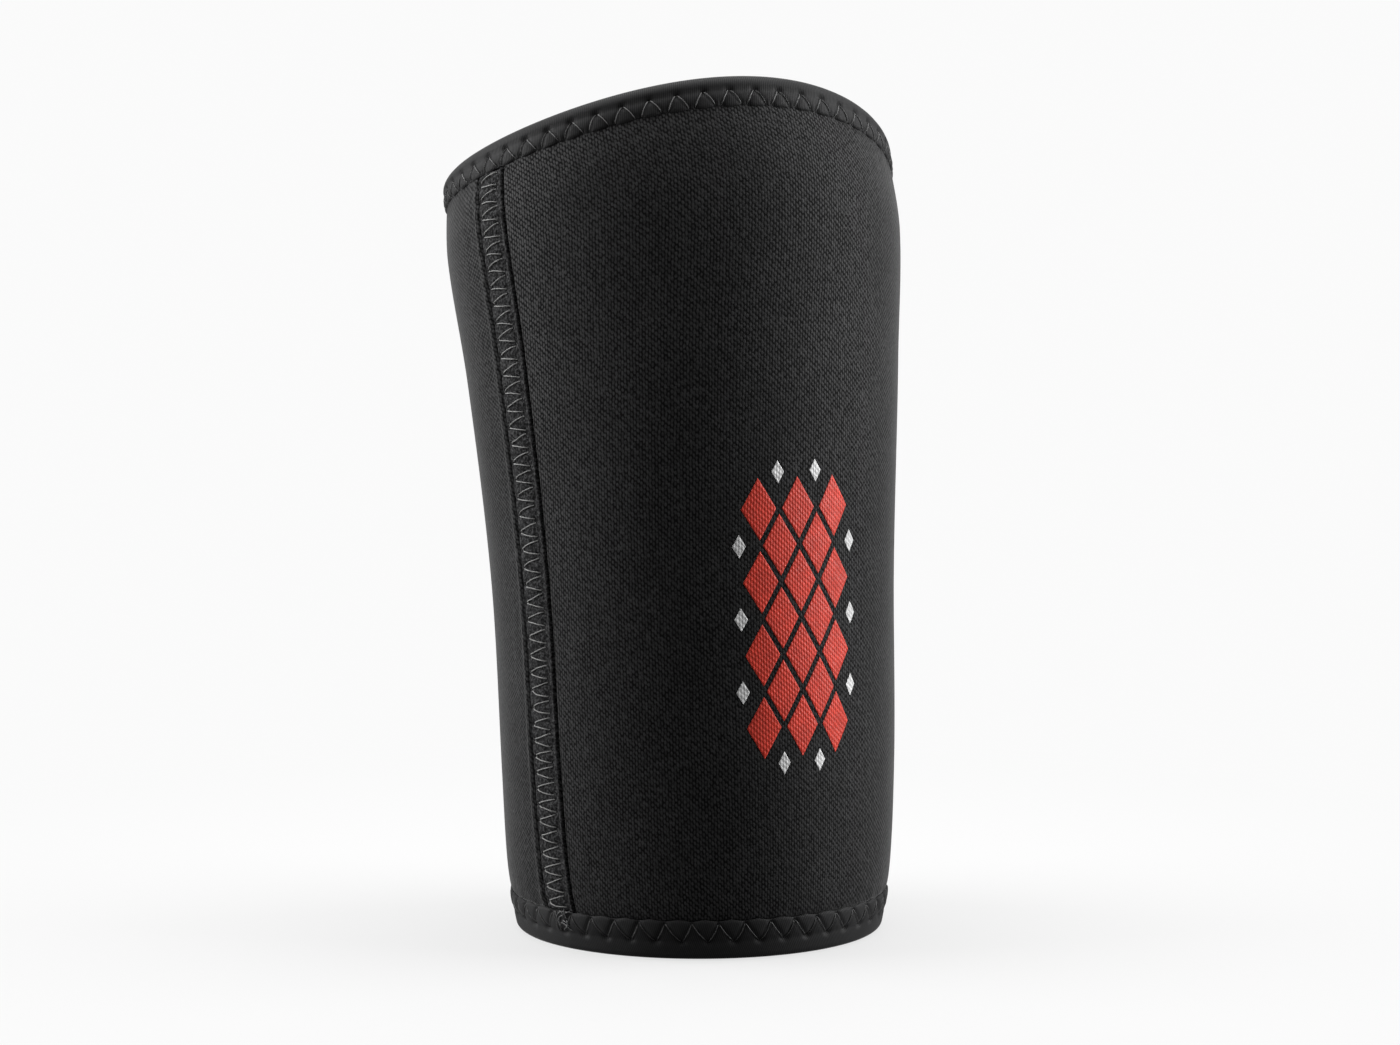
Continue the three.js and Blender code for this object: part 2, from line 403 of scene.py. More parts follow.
def pucker(pit, deep, phase, pitch, level, near, far, apart, reach=(0.5, 0.5)):
    """Rise of a stitched face: grooves under the zigzag's legs, pits at its points, pillows between.

    The legs leave the near level a little apart at whole phases and reach the far level left and right."""
    aside = phase - np.round(phase)
    folded = np.abs(aside)
    end = np.where(aside < 0, reach[0], reach[1])
    way = np.clip((folded - apart) / (end - apart), 0, 1)
    slope = (far - near) / (pitch * (end - apart))
    past = PAST_LEG * pitch * np.maximum(0, folded - end)
    away = np.hypot(level - near - (far - near) * way, past)
    away = away / np.hypot(1, slope)
    share = (level - near) / (far - near)
    inside = np.exp(-(np.maximum(0, np.abs(share - 0.5) - 0.5) / PUCKER_FADE) ** 2)
    groove = -deep * np.exp(-(away / GROOVE_WIDTH) ** 2) * inside
    near_pit = np.exp(-((pitch * (folded - apart)) ** 2 + (level - near) ** 2) / NEAR_PIT_WIDTH ** 2)
    far_pit = np.exp(-((pitch * (end - folded)) ** 2 + (level - far) ** 2) / FAR_PIT_WIDTH ** 2)
    fullness = np.where(share > way, PILLOW_IN_STITCH, PILLOW_BETWEEN)
    pillow = fullness * deep * (1 - np.exp(-(away / PILLOW_WIDTH) ** 2)) * inside
    return groove + pillow - pit * (near_pit + far_pit)


def stitch_count(binding, length):
    """Whole number of zigzags round a rim."""
    return round(FULL_TURN * float(radius_at(length)) / binding.pitch)


def rim_counts():
    """Zigzags round the bottom and the top rim."""
    return stitch_count(BOTTOM_BINDING, 0.0), stitch_count(TOP_BINDING, SLEEVE_LENGTH)


def seam_ends(shape):
    """Lengths between which the seam tape lies."""
    low = BOTTOM_BINDING.height + shape.gap
    return low, float(column_rim(0.0, 0.0)) - TOP_BINDING.height - shape.gap


def seam_count(shape, stitch):
    """Whole number of zigzags along the seam."""
    low, high = seam_ends(shape)
    return round((high - low) / stitch.seam_pitch)


def seam_climb(length):
    """Slope of the seam's zigzag, up to the right."""
    return SEAM_CLIMB * np.clip(1 - length / SEAM_CLIMB_END, 0, 1)


def seam_phase(shape, stitch, length, across):
    """Phase of the seam's zigzag at lengths and distances across the seam."""
    low, high = seam_ends(shape)
    level = length - seam_climb(length) * across
    return (level - low) / (high - low) * seam_count(shape, stitch)


def rim_phase(at_top, share, across):
    """Phase of a binding's zigzag in a column."""
    length = SLEEVE_LENGTH if at_top else 0.0
    return rim_counts()[at_top] * (share + across / (FULL_TURN * radius_at(length)))


def edge_depth(binding, phase):
    """Depth of a binding's edge, which waves between the zigzag's points."""
    return binding.height + binding.scallop * (SCALLOP_CREST - zigzag(phase))


def free_ends(shape, share, across):
    """Lengths between which the wall is free of the bindings in a column."""
    low = edge_depth(BOTTOM_BINDING, rim_phase(False, share, across))
    high = edge_depth(TOP_BINDING, rim_phase(True, share, across))
    return low + shape.edge_gap, column_rim(share, across) - high - shape.edge_gap


# Meshes


def add_piece(name, points, faces, materials, smooth=True):
    """New object of a mesh that lies in the frame."""
    mesh = bpy.data.meshes.new(name)
    mesh.from_pydata(np.reshape(points, (-1, 3)).tolist(), [], np.asarray(faces).tolist())
    for material in materials:
        mesh.materials.append(material)
    mesh.polygons.foreach_set("use_smooth", np.full(len(mesh.polygons), smooth))
    piece = bpy.data.objects.new(name, mesh)
    bpy.context.scene.collection.objects.link(piece)
    return piece


def set_uv(piece, corners):
    """UV map of the cloth, in metres, with one pair for each corner of each face."""
    layer = piece.data.uv_layers.new(name="cloth")
    layer.data.foreach_set("uv", np.asarray(corners, dtype=np.float32).ravel())


def grid_faces(rows, columns, closed_rows, closed_columns):
    """Row and column numbers of the corners of a grid's faces, outwards for rows that run up the outside."""
    i, j = np.meshgrid(
        np.arange(rows if closed_rows else rows - 1),
        np.arange(columns if closed_columns else columns - 1), indexing="ij")
    corner_rows = np.stack([i, i, i + 1, i + 1], axis=-1).reshape(-1, 4)
    corner_columns = np.stack([j, j + 1, j + 1, j], axis=-1).reshape(-1, 4)
    return corner_rows, corner_columns


def add_ring(name, points, uv, materials, inner_rows=None):
    """Closed ring of a section loop: rows go round the section and columns round the sleeve.

    uv has one more column than points, so that the pattern meets itself at the seam."""
    rows, columns = points.shape[:2]
    corner_rows, corner_columns = grid_faces(rows, columns, True, True)
    faces = (corner_rows % rows) * columns + corner_columns % columns
    piece = add_piece(name, points, faces, materials)
    set_uv(piece, uv[corner_rows % rows, corner_columns])
    if inner_rows is not None:
        inner = np.isin(corner_rows[:, 0], inner_rows).astype(np.int32)
        piece.data.polygons.foreach_set("material_index", inner)
    return piece


def finish_piece(piece, node=None):
    """Ties a piece to the frame."""
    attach(piece, RIGID_BODY)
    if node is not None:
        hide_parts(node)
    return piece


# Node helpers

# Numbers of a mix node's sockets for colours, which bear the same names as those for plain numbers
MIX_FIRST = 6
MIX_SECOND = 7
MIX_RESULT = 2

# Range that almost all of a noise lies in
NOISE_LOW = 0.3
NOISE_HIGH = 0.7

SHEEN_ROUGHNESS = 0.3


def put(tree, socket, value):
    """Links a socket to another, or sets its value."""
    if isinstance(value, bpy.types.NodeSocket):
        tree.links.new(value, socket)
    else:
        socket.default_value = value


def add_node(tree, kind, inputs, **settings):
    """New node with its settings, and with its inputs set or linked by name."""
    node = tree.nodes.new(kind)
    for name, value in settings.items():
        setattr(node, name, value)
    for name, value in inputs.items():
        put(tree, node.inputs[name], value)
    return node


def math_node(tree, operation, *values):
    """Output of a math node on sockets or numbers."""
    node = add_node(tree, "ShaderNodeMath", dict(enumerate(values)), operation=operation)
    return node.outputs["Value"]


def vector_node(tree, operation, *values):
    """Output of a vector math node on sockets or vectors."""
    node = add_node(tree, "ShaderNodeVectorMath", dict(enumerate(values)), operation=operation)
    return node.outputs["Vector"]


def scaled(tree, vector, scale):
    """A vector or colour made longer or shorter."""
    node = add_node(tree, "ShaderNodeVectorMath", {0: vector, "Scale": scale}, operation="SCALE")
    return node.outputs["Vector"]


def shade(colour, factor):
    """A colour that is a number of times as bright."""
    return (*[min(1.0, factor * part) for part in colour], 1)


def smooth_step(tree, value, low, high, to_low=0.0, to_high=1.0):
    """Output that eases from one number to another as a value goes from low to high."""
    inputs = {"Value": value, "From Min": low, "From Max": high, "To Min": to_low, "To Max": to_high}
    return add_node(tree, "ShaderNodeMapRange", inputs, interpolation_type="SMOOTHSTEP").outputs["Result"]


def mix_colour(tree, share, first, second):
    """Colour between two others."""
    inputs = {0: share, MIX_FIRST: first, MIX_SECOND: second}
    return add_node(tree, "ShaderNodeMix", inputs, data_type="RGBA").outputs[MIX_RESULT]


def split_vector(tree, vector):
    """The first two parts of a vector."""
    split = add_node(tree, "ShaderNodeSeparateXYZ", {"Vector": vector})
    return split.outputs["X"], split.outputs["Y"]


def cloth_uv(tree):
    """The two UV distances of a cloth, in metres."""
    return split_vector(tree, add_node(tree, "ShaderNodeUVMap", {}, uv_map="cloth").outputs["UV"])


def wave(tree, distance, period):
    """Cosine along a distance."""
    return math_node(tree, "COSINE", math_node(tree, "MULTIPLY", distance, FULL_TURN / period))


def noise(tree, scale, detail=2.0, roughness=0.5):
    """Noise on the object's own coordinates."""
    place = tree.nodes.new("ShaderNodeTexCoord").outputs["Object"]
    inputs = {"Vector": place, "Scale": scale, "Detail": detail, "Roughness": roughness}
    return add_node(tree, "ShaderNodeTexNoise", inputs).outputs["Fac"]


def join_heights(tree, fine, coarse, fine_share, coarse_share):
    """Sum of shares of a fine and a coarse relief."""
    base = math_node(tree, "MULTIPLY", coarse, coarse_share)
    return math_node(tree, "MULTIPLY_ADD", fine, fine_share, base)


def bump(tree, shader, height, depth):
    """Relief of a surface, with its depth in metres."""
    node = add_node(tree, "ShaderNodeBump", {"Strength": 1.0, "Distance": depth, "Height": height})
    put(tree, shader.inputs["Normal"], node.outputs["Normal"])


def new_material(name, specular, sheen):
    """Material with a plain shader whose even values are set on its own sockets."""
    material = bpy.data.materials.new(name)
    material.use_nodes = True
    shader = material.node_tree.nodes["Principled BSDF"]
    shader.inputs["Specular IOR Level"].default_value = specular
    shader.inputs["Sheen Weight"].default_value = sheen
    shader.inputs["Sheen Roughness"].default_value = SHEEN_ROUGHNESS
    return material, material.node_tree, shader


def noise_step(tree, value, to_low, to_high):
    """Output that eases from one number to another over the range of a noise."""
    return smooth_step(tree, value, NOISE_LOW, NOISE_HIGH, to_low, to_high)


def tone(tree, colour, drifts):
    """A colour whose brightness drifts over the piece, by a spread at each scale."""
    for drift in drifts:
        factor = noise_step(tree, noise(tree, drift.scale), 1 - drift.spread, 1 + drift.spread)
        colour = scaled(tree, colour, factor)
    return colour


# Materials

# Distances between the loops of the knit outside and of the lining, and between the tape's ribs
KNIT_ACROSS = 1.467 * MM
KNIT_ALONG = 1.33 * MM
LINING_ACROSS = 0.9 * MM
LINING_ALONG = 1.1 * MM
RIB_PITCH = 0.5 * MM

# How strongly the knit shows its falling diagonals, its rising diagonals and its upright columns
KNIT_FALLING = 0.4
KNIT_RISING = 0.2
KNIT_COLUMNS = 0.42

# How far the knit's loops stray across and along it, in radians, and at what scales of noise
KNIT_STRAY = 2.5
KNIT_STRAY_SCALES = (260.0, 310.0)

# How uneven the sizes of its loops and holes are, and at what scale
KNIT_UNEVEN = 0.9
KNIT_UNEVEN_SCALE = 1150.0

# Scales of the noise of the fibres, and of the film's gloss
KNIT_FIBRES = 2600.0
TAPE_FIBRES = 2200.0
FELT_FIBRES = 1700.0
THREAD_FIBRES = 5200.0
FILM_GLOSS = 420.0

# Drifts of the brightness: the noise's scale, and how far it goes up and down
Drift = namedtuple("Drift", "scale spread")
KNIT_DRIFTS = [Drift(scale=55.0, spread=0.14), Drift(scale=900.0, spread=0.4)]
TAPE_DRIFTS = [Drift(scale=70.0, spread=0.15)]
FELT_DRIFTS = [Drift(scale=120.0, spread=0.2)]
FILM_DRIFTS = [Drift(scale=160.0, spread=0.1), Drift(scale=700.0, spread=0.12)]

# Depths of the relief
KNIT_RELIEF = 0.05 * MM
LINING_RELIEF = 0.08 * MM
TAPE_RELIEF = 0.02 * MM
FELT_RELIEF = 0.15 * MM
THREAD_RELIEF = 0.04 * MM
FILM_RELIEF = 0.06 * MM


def knit_lattice(tree, across, along):
    """Staggered lattice of a knit: about 1 on its loops and down to about -0.6 between them."""
    u, v = cloth_uv(tree)
    strays = [math_node(tree, "MULTIPLY", noise(tree, scale), KNIT_STRAY) for scale in KNIT_STRAY_SCALES]
    a = math_node(tree, "MULTIPLY_ADD", u, FULL_TURN / across, strays[0])
    b = math_node(tree, "MULTIPLY_ADD", v, FULL_TURN / along, strays[1])
    falling = math_node(tree, "COSINE", math_node(tree, "ADD", a, b))
    rising = math_node(tree, "COSINE", math_node(tree, "SUBTRACT", a, b))
    columns = math_node(tree, "COSINE", math_node(tree, "MULTIPLY", a, 2.0))
    diagonal = math_node(tree, "MULTIPLY", rising, KNIT_RISING)
    diagonals = math_node(tree, "MULTIPLY_ADD", falling, KNIT_FALLING, diagonal)
    return math_node(tree, "MULTIPLY_ADD", columns, KNIT_COLUMNS, diagonals)


def knit_material(name, yarn, hole, across, along, depth):
    """Fine knitted cloth with holes between its loops, darkened there with painted shade."""
    material, tree, shader = new_material(name, specular=0.1, sheen=0.3)
    spots = noise(tree, KNIT_UNEVEN_SCALE, detail=1.0)
    uneven = math_node(tree, "MULTIPLY_ADD", spots, 2 * KNIT_UNEVEN, -KNIT_UNEVEN)
    lattice = math_node(tree, "ADD", knit_lattice(tree, across, along), uneven)
    fibres = noise(tree, KNIT_FIBRES, roughness=0.6)
    # Painted shade: the colour goes to the hole colour where the lattice dips between the loops
    holes = smooth_step(tree, lattice, low=-0.65, high=0.4, to_low=1.0, to_high=0.0)
    fuzz = smooth_step(tree, fibres, low=0.35, high=0.75, to_high=0.5)
    fuzzy = mix_colour(tree, fuzz, tone(tree, yarn, KNIT_DRIFTS), shade(yarn, 2.0))
    put(tree, shader.inputs["Base Color"], mix_colour(tree, holes, fuzzy, shade(hole, 1.0)))
    gloss = smooth_step(tree, lattice, low=-0.5, high=0.8, to_low=0.9, to_high=0.55)
    put(tree, shader.inputs["Roughness"], gloss)
    height = join_heights(tree, fibres, lattice, fine_share=0.5, coarse_share=0.5)
    bump(tree, shader, height, depth)
    return material


def tape_material(name, colour):
    """Ribbed tape whose fine ribs run across it, with painted shade darkening the grooves between them."""
    material, tree, shader = new_material(name, specular=0.12, sheen=0.12)
    u, _ = cloth_uv(tree)
    ribs = wave(tree, u, RIB_PITCH)
    fibres = noise(tree, TAPE_FIBRES, roughness=0.6)
    fuzz = smooth_step(tree, fibres, low=0.4, high=0.8, to_high=0.2)
    fuzzy = mix_colour(tree, fuzz, tone(tree, colour, TAPE_DRIFTS), shade(colour, 2.5))
    # Painted shade: darker in the grooves between the ribs, where the relief is lowest
    grooves = smooth_step(tree, ribs, low=-0.2, high=0.9)
    put(tree, shader.inputs["Base Color"], mix_colour(tree, grooves, fuzzy, shade(colour, 0.65)))
    gloss = smooth_step(tree, ribs, low=-0.6, high=0.8, to_low=0.55, to_high=0.85)
    put(tree, shader.inputs["Roughness"], gloss)
    height = join_heights(tree, fibres, ribs, fine_share=0.4, coarse_share=-0.5)
    bump(tree, shader, height, TAPE_RELIEF)
    return material


def felt_material(name, colour):
    """Matt tape of short, tangled fibres, darker where they dip: partly its grain, partly painted shade in
    those pits.
    """
    material, tree, shader = new_material(name, specular=0.03, sheen=0.0)
    fibres = noise(tree, FELT_FIBRES, roughness=0.6)
    fuzz = smooth_step(tree, fibres, low=0.5, high=0.64)
    fuzzy = mix_colour(tree, fuzz, tone(tree, colour, FELT_DRIFTS), shade(colour, 2.7))
    # Partly grain, partly painted shade: darker where the fibre relief dips
    pits = smooth_step(tree, fibres, low=0.36, high=0.5, to_low=1.0, to_high=0.0)
    put(tree, shader.inputs["Base Color"], mix_colour(tree, pits, fuzzy, shade(colour, 0.3)))
    put(tree, shader.inputs["Roughness"], 0.85)
    bump(tree, shader, fibres, FELT_RELIEF)
    return material


def thread_material(name, colour):
    """Sewing thread of fine, slightly glossy filaments."""
    material, tree, shader = new_material(name, specular=0.5, sheen=0.05)
    filaments = noise(tree, THREAD_FIBRES, detail=1.0)
    shine = noise_step(tree, filaments, to_low=0.0, to_high=1.0)
    shades = mix_colour(tree, shine, shade(colour, 0.55), shade(colour, 1.5))
    put(tree, shader.inputs["Base Color"], shades)
    put(tree, shader.inputs["Roughness"], noise_step(tree, filaments, to_low=0.35, to_high=0.55))
    bump(tree, shader, filaments, THREAD_RELIEF)
    return material


def film_material(name, colour):
    """Printed film over the knit, with painted shade darkening it between the loops."""
    material, tree, shader = new_material(name, specular=0.25, sheen=0.0)
    lattice = knit_lattice(tree, KNIT_ACROSS, KNIT_ALONG)
    # Painted shade of the knit's relief under the film: darker where the lattice dips
    dip_shade = smooth_step(tree, lattice, low=-0.6, high=0.3, to_low=0.55, to_high=0.0)
    shades = mix_colour(tree, dip_shade, tone(tree, colour, FILM_DRIFTS), shade(colour, 0.45))
    put(tree, shader.inputs["Base Color"], shades)
    gloss = noise_step(tree, noise(tree, FILM_GLOSS), to_low=0.42, to_high=0.6)
    put(tree, shader.inputs["Roughness"], gloss)
    bump(tree, shader, lattice, FILM_RELIEF)
    return material


# Knitted body

# Columns on one side of the seam's middle: those under the tape, those close together beside its edge, and
# those further apart, with the distances from the edge that they lie between
COVERED_COLUMNS = 4
CLOSE_COLUMNS = 16
CLOSE_ZONE = (0 * MM, 2.5 * MM)
WIDE_COLUMNS = 12
WIDE_ZONE = (3 * MM, 10 * MM)

# How strongly the rows crowd at both ends of the free wall
ROW_CROWDING = 0.13

# Cloth beside the seam tape: how far it lies from the tape, and how far the needle points pull it in
SEAM_EDGE_GAP = 0.1 * MM
SEAM_PULL_IN_LEFT = 0.45 * MM
SEAM_PULL_IN_RIGHT = 0.1 * MM
SEAM_PULL_IN_WIDTH = 1.8 * MM

# Roll of that cloth on the left: its rise, its distance from the tape and its width
SEAM_ROLL = 0.3 * MM
SEAM_ROLL_PLACE = 1.3 * MM
SEAM_ROLL_WIDTH = 0.8 * MM

# Distance over which the pull of a binding's stitches fades
BINDING_PULL_LENGTH = 2 * MM

# Waves of the soft wall: number round the sleeve, radians per metre along it, start and share of the height
Swell = namedtuple("Swell", "around along start share")
SWELLS = [
    Swell(around=3, along=31, start=0.0, share=1.0),
    Swell(around=5, along=-47, start=1.3, share=0.7),
]

# Distances from the bindings and from the seam tape over which they rise
SWELL_FROM_BINDING = 12 * MM
SWELL_FROM_SEAM = 8 * MM


def body_columns(shape):
    """Shares round the sleeve and distances across the seam of the body's columns, closest at its edges."""
    edge = shape.seam_half
    near = np.concatenate([
        np.linspace(0, edge, COVERED_COLUMNS + 1)[:-1], edge + np.linspace(*CLOSE_ZONE, CLOSE_COLUMNS),
        edge + np.linspace(*WIDE_ZONE, WIDE_COLUMNS)])
    shares = np.linspace(0, 1, ROUND_STEPS + 1)[1:-1]
    share = np.concatenate([np.zeros(len(near)), shares, np.ones(len(near) - 1)])
    across = np.concatenate([near, (1 - 2 * shares) * near[-1], -near[:0:-1]])
    return share, across


def free_rows(count):
    """Shares along the free wall, closer together at both ends."""
    even = np.linspace(0, 1, count)
    return even - ROW_CROWDING * np.sin(FULL_TURN * even)


def edge_loop(binding, shape, spread, steps):
    """Offsets and depths of an edge with two round corners, from the outer face over to the inner one."""
    core = shape.wall / 2 - shape.pressed
    radius = binding.corner + spread
    flat = core - binding.corner
    centre = shape.tape + shape.gap + binding.corner
    angle = np.linspace(0, math.pi / 2, steps + 1)
    outer = flat + radius * np.cos(angle)
    depth = centre - radius * np.sin(angle)
    offset = -shape.wall / 2 + np.concatenate([outer, -outer[::-1]])
    return offset, np.concatenate([depth, depth[::-1]])


def seam_relief(shape, stitch, side, length):
    """Share of the pressed depth beside the seam tape, and the rise of the cloth there.

    On the left the cloth rolls under the tape, drawn in at the needle points; on the right it is cut."""
    beside = np.abs(side) - shape.seam_half - SEAM_EDGE_GAP
    on_left = side < 0
    press = edge_round(beside, np.where(on_left, shape.left_shoulder, shape.right_shoulder))
    phase = seam_phase(shape, stitch, length, side)
    points = np.where(on_left, SEAM_PULL_IN_LEFT, SEAM_PULL_IN_RIGHT) * zigzag(phase) ** 2
    pull = points * np.exp(-(beside / SEAM_PULL_IN_WIDTH) ** 2)
    roll = np.where(on_left, SEAM_ROLL, 0.0) * np.exp(-((beside - SEAM_ROLL_PLACE) / SEAM_ROLL_WIDTH) ** 2)
    return press, (roll - pull) * (1 - press)


def outer_relief(shape, stitch, share, across, length, low, high):
    """Offset of the knitted outer face: pressed at the tapes, puckered by the stitches, softly uneven."""
    side = from_seam(share, across, length)
    press, rise = seam_relief(shape, stitch, side, length)
    for binding, away, at_top in ((BOTTOM_BINDING, length - low, False), (TOP_BINDING, high - length, True)):
        edge = binding.pull * edge_round(away, shape.shoulder)
        points = binding.pull * zigzag(rim_phase(at_top, share, across)) ** 2
        rise = rise - edge - points * np.exp(-away / BINDING_PULL_LENGTH)
    turn = column_turn(share, across, length)
    waves = sum(
        swell.share * np.sin(swell.around * turn + swell.along * length + swell.start) for swell in SWELLS)
    inside = np.clip(np.minimum(length - low, high - length) / SWELL_FROM_BINDING, 0, 1)
    beside = np.clip((np.abs(side) - shape.seam_half) / SWELL_FROM_SEAM, 0, 1)
    return -shape.pressed * press + rise * (1 - press) + shape.waviness * waves * inside * beside


def make_body(shape, stitch, colours):
    """Hollow knitted wall, as one closed loop up the outer face and down the inner one."""
    share, across = body_columns(shape)
    rim = column_rim(share, across)
    low, high = free_ends(shape, share, across)
    top_offset, top_depth = edge_loop(TOP_BINDING, shape, 0.0, HIDDEN_CORNER_STEPS)
    bottom_offset, bottom_depth = edge_loop(BOTTOM_BINDING, shape, 0.0, HIDDEN_CORNER_STEPS)
    outer = low + free_rows(OUTER_ROWS)[:, None] * (high - low)
    inner = low + free_rows(INNER_ROWS)[::-1, None] * (high - low)
    level = np.zeros_like(rim)
    length = np.concatenate([outer, rim - top_depth[:, None], inner, bottom_depth[::-1, None] + level])
    ends = np.minimum(inner - low, high - inner)
    offset = np.concatenate([
        outer_relief(shape, stitch, share, across, outer, low, high), top_offset[:, None] + level,
        -shape.wall + shape.pressed * edge_round(ends, shape.shoulder), bottom_offset[::-1, None] + level])
    points = surface(length, column_turn(share, across, length), offset)
    wrapped = np.concatenate([length, length[:, :1]], axis=1)
    uv = cloth_distances(np.append(share, 1.0), np.append(across, 0.0), wrapped)
    materials = [
        knit_material(
            "knitted_face", colours.yarn, colours.hole, KNIT_ACROSS, KNIT_ALONG, KNIT_RELIEF),
        knit_material(
            "knitted_lining", colours.lining, colours.hole, LINING_ACROSS, LINING_ALONG, LINING_RELIEF),
    ]
    inner_rows = np.arange(len(outer) + len(top_depth) - 1, len(length))
    return add_ring("sleeve_body_cloth", points, uv, materials, inner_rows)


# Folded bindings

# Line of needle points along a leg: how far it is drawn in, and its width
NEEDLE_LINE = 0.18 * MM
NEEDLE_LINE_WIDTH = 0.8 * MM

# Rise of a leg between that line and its edge, and the width of the round at its edge
LEG_FULLNESS = 0.1 * MM
TUCK_WIDTH = 0.8 * MM

# Share of the pitch from a near point to the start of its legs, and the least thickness left by the puckers
RIM_APART = 0.04
THINNEST_LEG = 0.1 * MM


def binding_loop(binding, shape):
    """Offsets, depths and sides of a folded tape's section: 1 on the outer leg, -1 on the inner one."""
    offset, depth = edge_loop(binding, shape, shape.gap + shape.tape, CORNER_STEPS)
    hidden_offset, hidden_depth = edge_loop(binding, shape, shape.gap, HIDDEN_CORNER_STEPS)
    end = binding.height - shape.tip
    leg = np.linspace(end, depth[0], LEG_STEPS)[:-1]
    tip = np.linspace(0, math.pi / 2, TIP_STEPS + 1)[1:]
    tip_depth = end + shape.tip * np.sin(tip)
    tip_inset = shape.tip * (1 - np.cos(tip))
    outer_offset, inner_offset = offset[0], offset[-1]
    offsets = np.concatenate([
        (outer_offset - tip_inset)[::-1], np.full(len(leg), outer_offset), offset,
        np.full(len(leg), inner_offset), inner_offset + tip_inset,
        [hidden_offset[-1]], hidden_offset[::-1], [hidden_offset[0]]])
    depths = np.concatenate([
        tip_depth[::-1], leg, depth, leg[::-1], tip_depth,
        [end], hidden_depth[::-1], [end]])
    sides = np.concatenate([
        np.ones(len(tip) + len(leg)), np.zeros(len(depth)), -np.ones(len(leg) + len(tip)),
        np.zeros(len(hidden_depth) + 2)])
    return offsets, depths, sides


def fold_face(binding, depth):
    """Rise of a folded tape's leg: drawn in along its needle line, full below it and thin at its edge."""
    below = np.clip((depth - binding.near) / (binding.height - binding.near), 0, 1)
    line = -NEEDLE_LINE * np.exp(-((depth - binding.near) / NEEDLE_LINE_WIDTH) ** 2)
    edge = -binding.tuck * edge_round(binding.height - depth, TUCK_WIDTH)
    return line + LEG_FULLNESS * np.sin(math.pi * below) + edge


def make_binding(name, binding, shape, stitch, count, material, at_top):
    """Tape folded over a rim, with the pillows and grooves that its zigzag pulls."""
    columns = count * BINDING_COLUMNS_PER_STITCH
    share = np.arange(columns + 1) / columns
    offset, depth, side = binding_loop(binding, shape)
    phase = share[None, :] * count
    relief = fold_face(binding, depth)[:, None] + pucker(
        stitch.pit, binding.groove, phase, binding.pitch, depth[:, None], binding.near, binding.far,
        RIM_APART, binding.reach)
    under = shape.wall / 2 - shape.pressed + shape.gap + THINNEST_LEG
    away = np.maximum(np.abs(offset + shape.wall / 2)[:, None] + relief, under)
    offset = np.where(side[:, None] == 0, offset[:, None], side[:, None] * away - shape.wall / 2)
    to_edge = np.clip((depth - binding.near) / (binding.height - binding.near), 0, 1)[:, None]
    waved = depth[:, None] + (edge_depth(binding, phase) - binding.height) * to_edge
    length = column_rim(share, 0.0)[None, :] - waved if at_top else waved
    points = surface(length, column_turn(share, 0.0, length), offset)
    steps = np.hypot(np.diff(offset[:, 0], prepend=offset[0, 0]), np.diff(depth, prepend=depth[0]))
    way = FULL_TURN * share[None, :] * radius_at(length)
    uv = np.stack([way, np.repeat(np.cumsum(steps)[:, None], len(share), 1)], axis=-1)
    if not at_top:
        points = points[::-1]
        uv = uv[::-1]
    return add_ring(name, points[:, :-1], uv, [material])


# Seam tape

SEAM_TAPE_COLUMNS = 51
SEAM_TAPE_ROW = 0.42 * MM

# Rise of the tape's middle, and for each edge how far it is tucked in and over what width
TAPE_CROWN = 0.6 * MM
Tuck = namedtuple("Tuck", "depth width")
LEFT_TUCK = Tuck(depth=0.5 * MM, width=0.8 * MM)
RIGHT_TUCK = Tuck(depth=0.4 * MM, width=0.3 * MM)

# Lip along the right edge and the fold beside it: rise, distance from the edge and width
Ridge = namedtuple("Ridge", "rise inset width")
RIDGES = [
    Ridge(rise=0.3 * MM, inset=0.6 * MM, width=0.35 * MM),
    Ridge(rise=-0.12 * MM, inset=1.6 * MM, width=0.5 * MM),
]

# How far the left edge is pulled in at the needle points and over what width, and the least thickness
SEAM_SCALLOP = 0.35 * MM
SEAM_SCALLOP_WIDTH = 1.2 * MM
THINNEST_TAPE = 0.05 * MM


def tape_face(shape, across):
    """Rise of the seam tape's face above the wall: crowned, tucked in at the left, lipped at the right."""
    half = shape.seam_half
    left_edge = LEFT_TUCK.depth * edge_round(across + half, LEFT_TUCK.width)
    face = TAPE_CROWN * (1 - (across / half) ** 2) - left_edge
    for ridge in RIDGES:
        face = face + ridge.rise * np.exp(-((across - half + ridge.inset) / ridge.width) ** 2)
    return face - RIGHT_TUCK.depth * edge_round(half - across, RIGHT_TUCK.width)


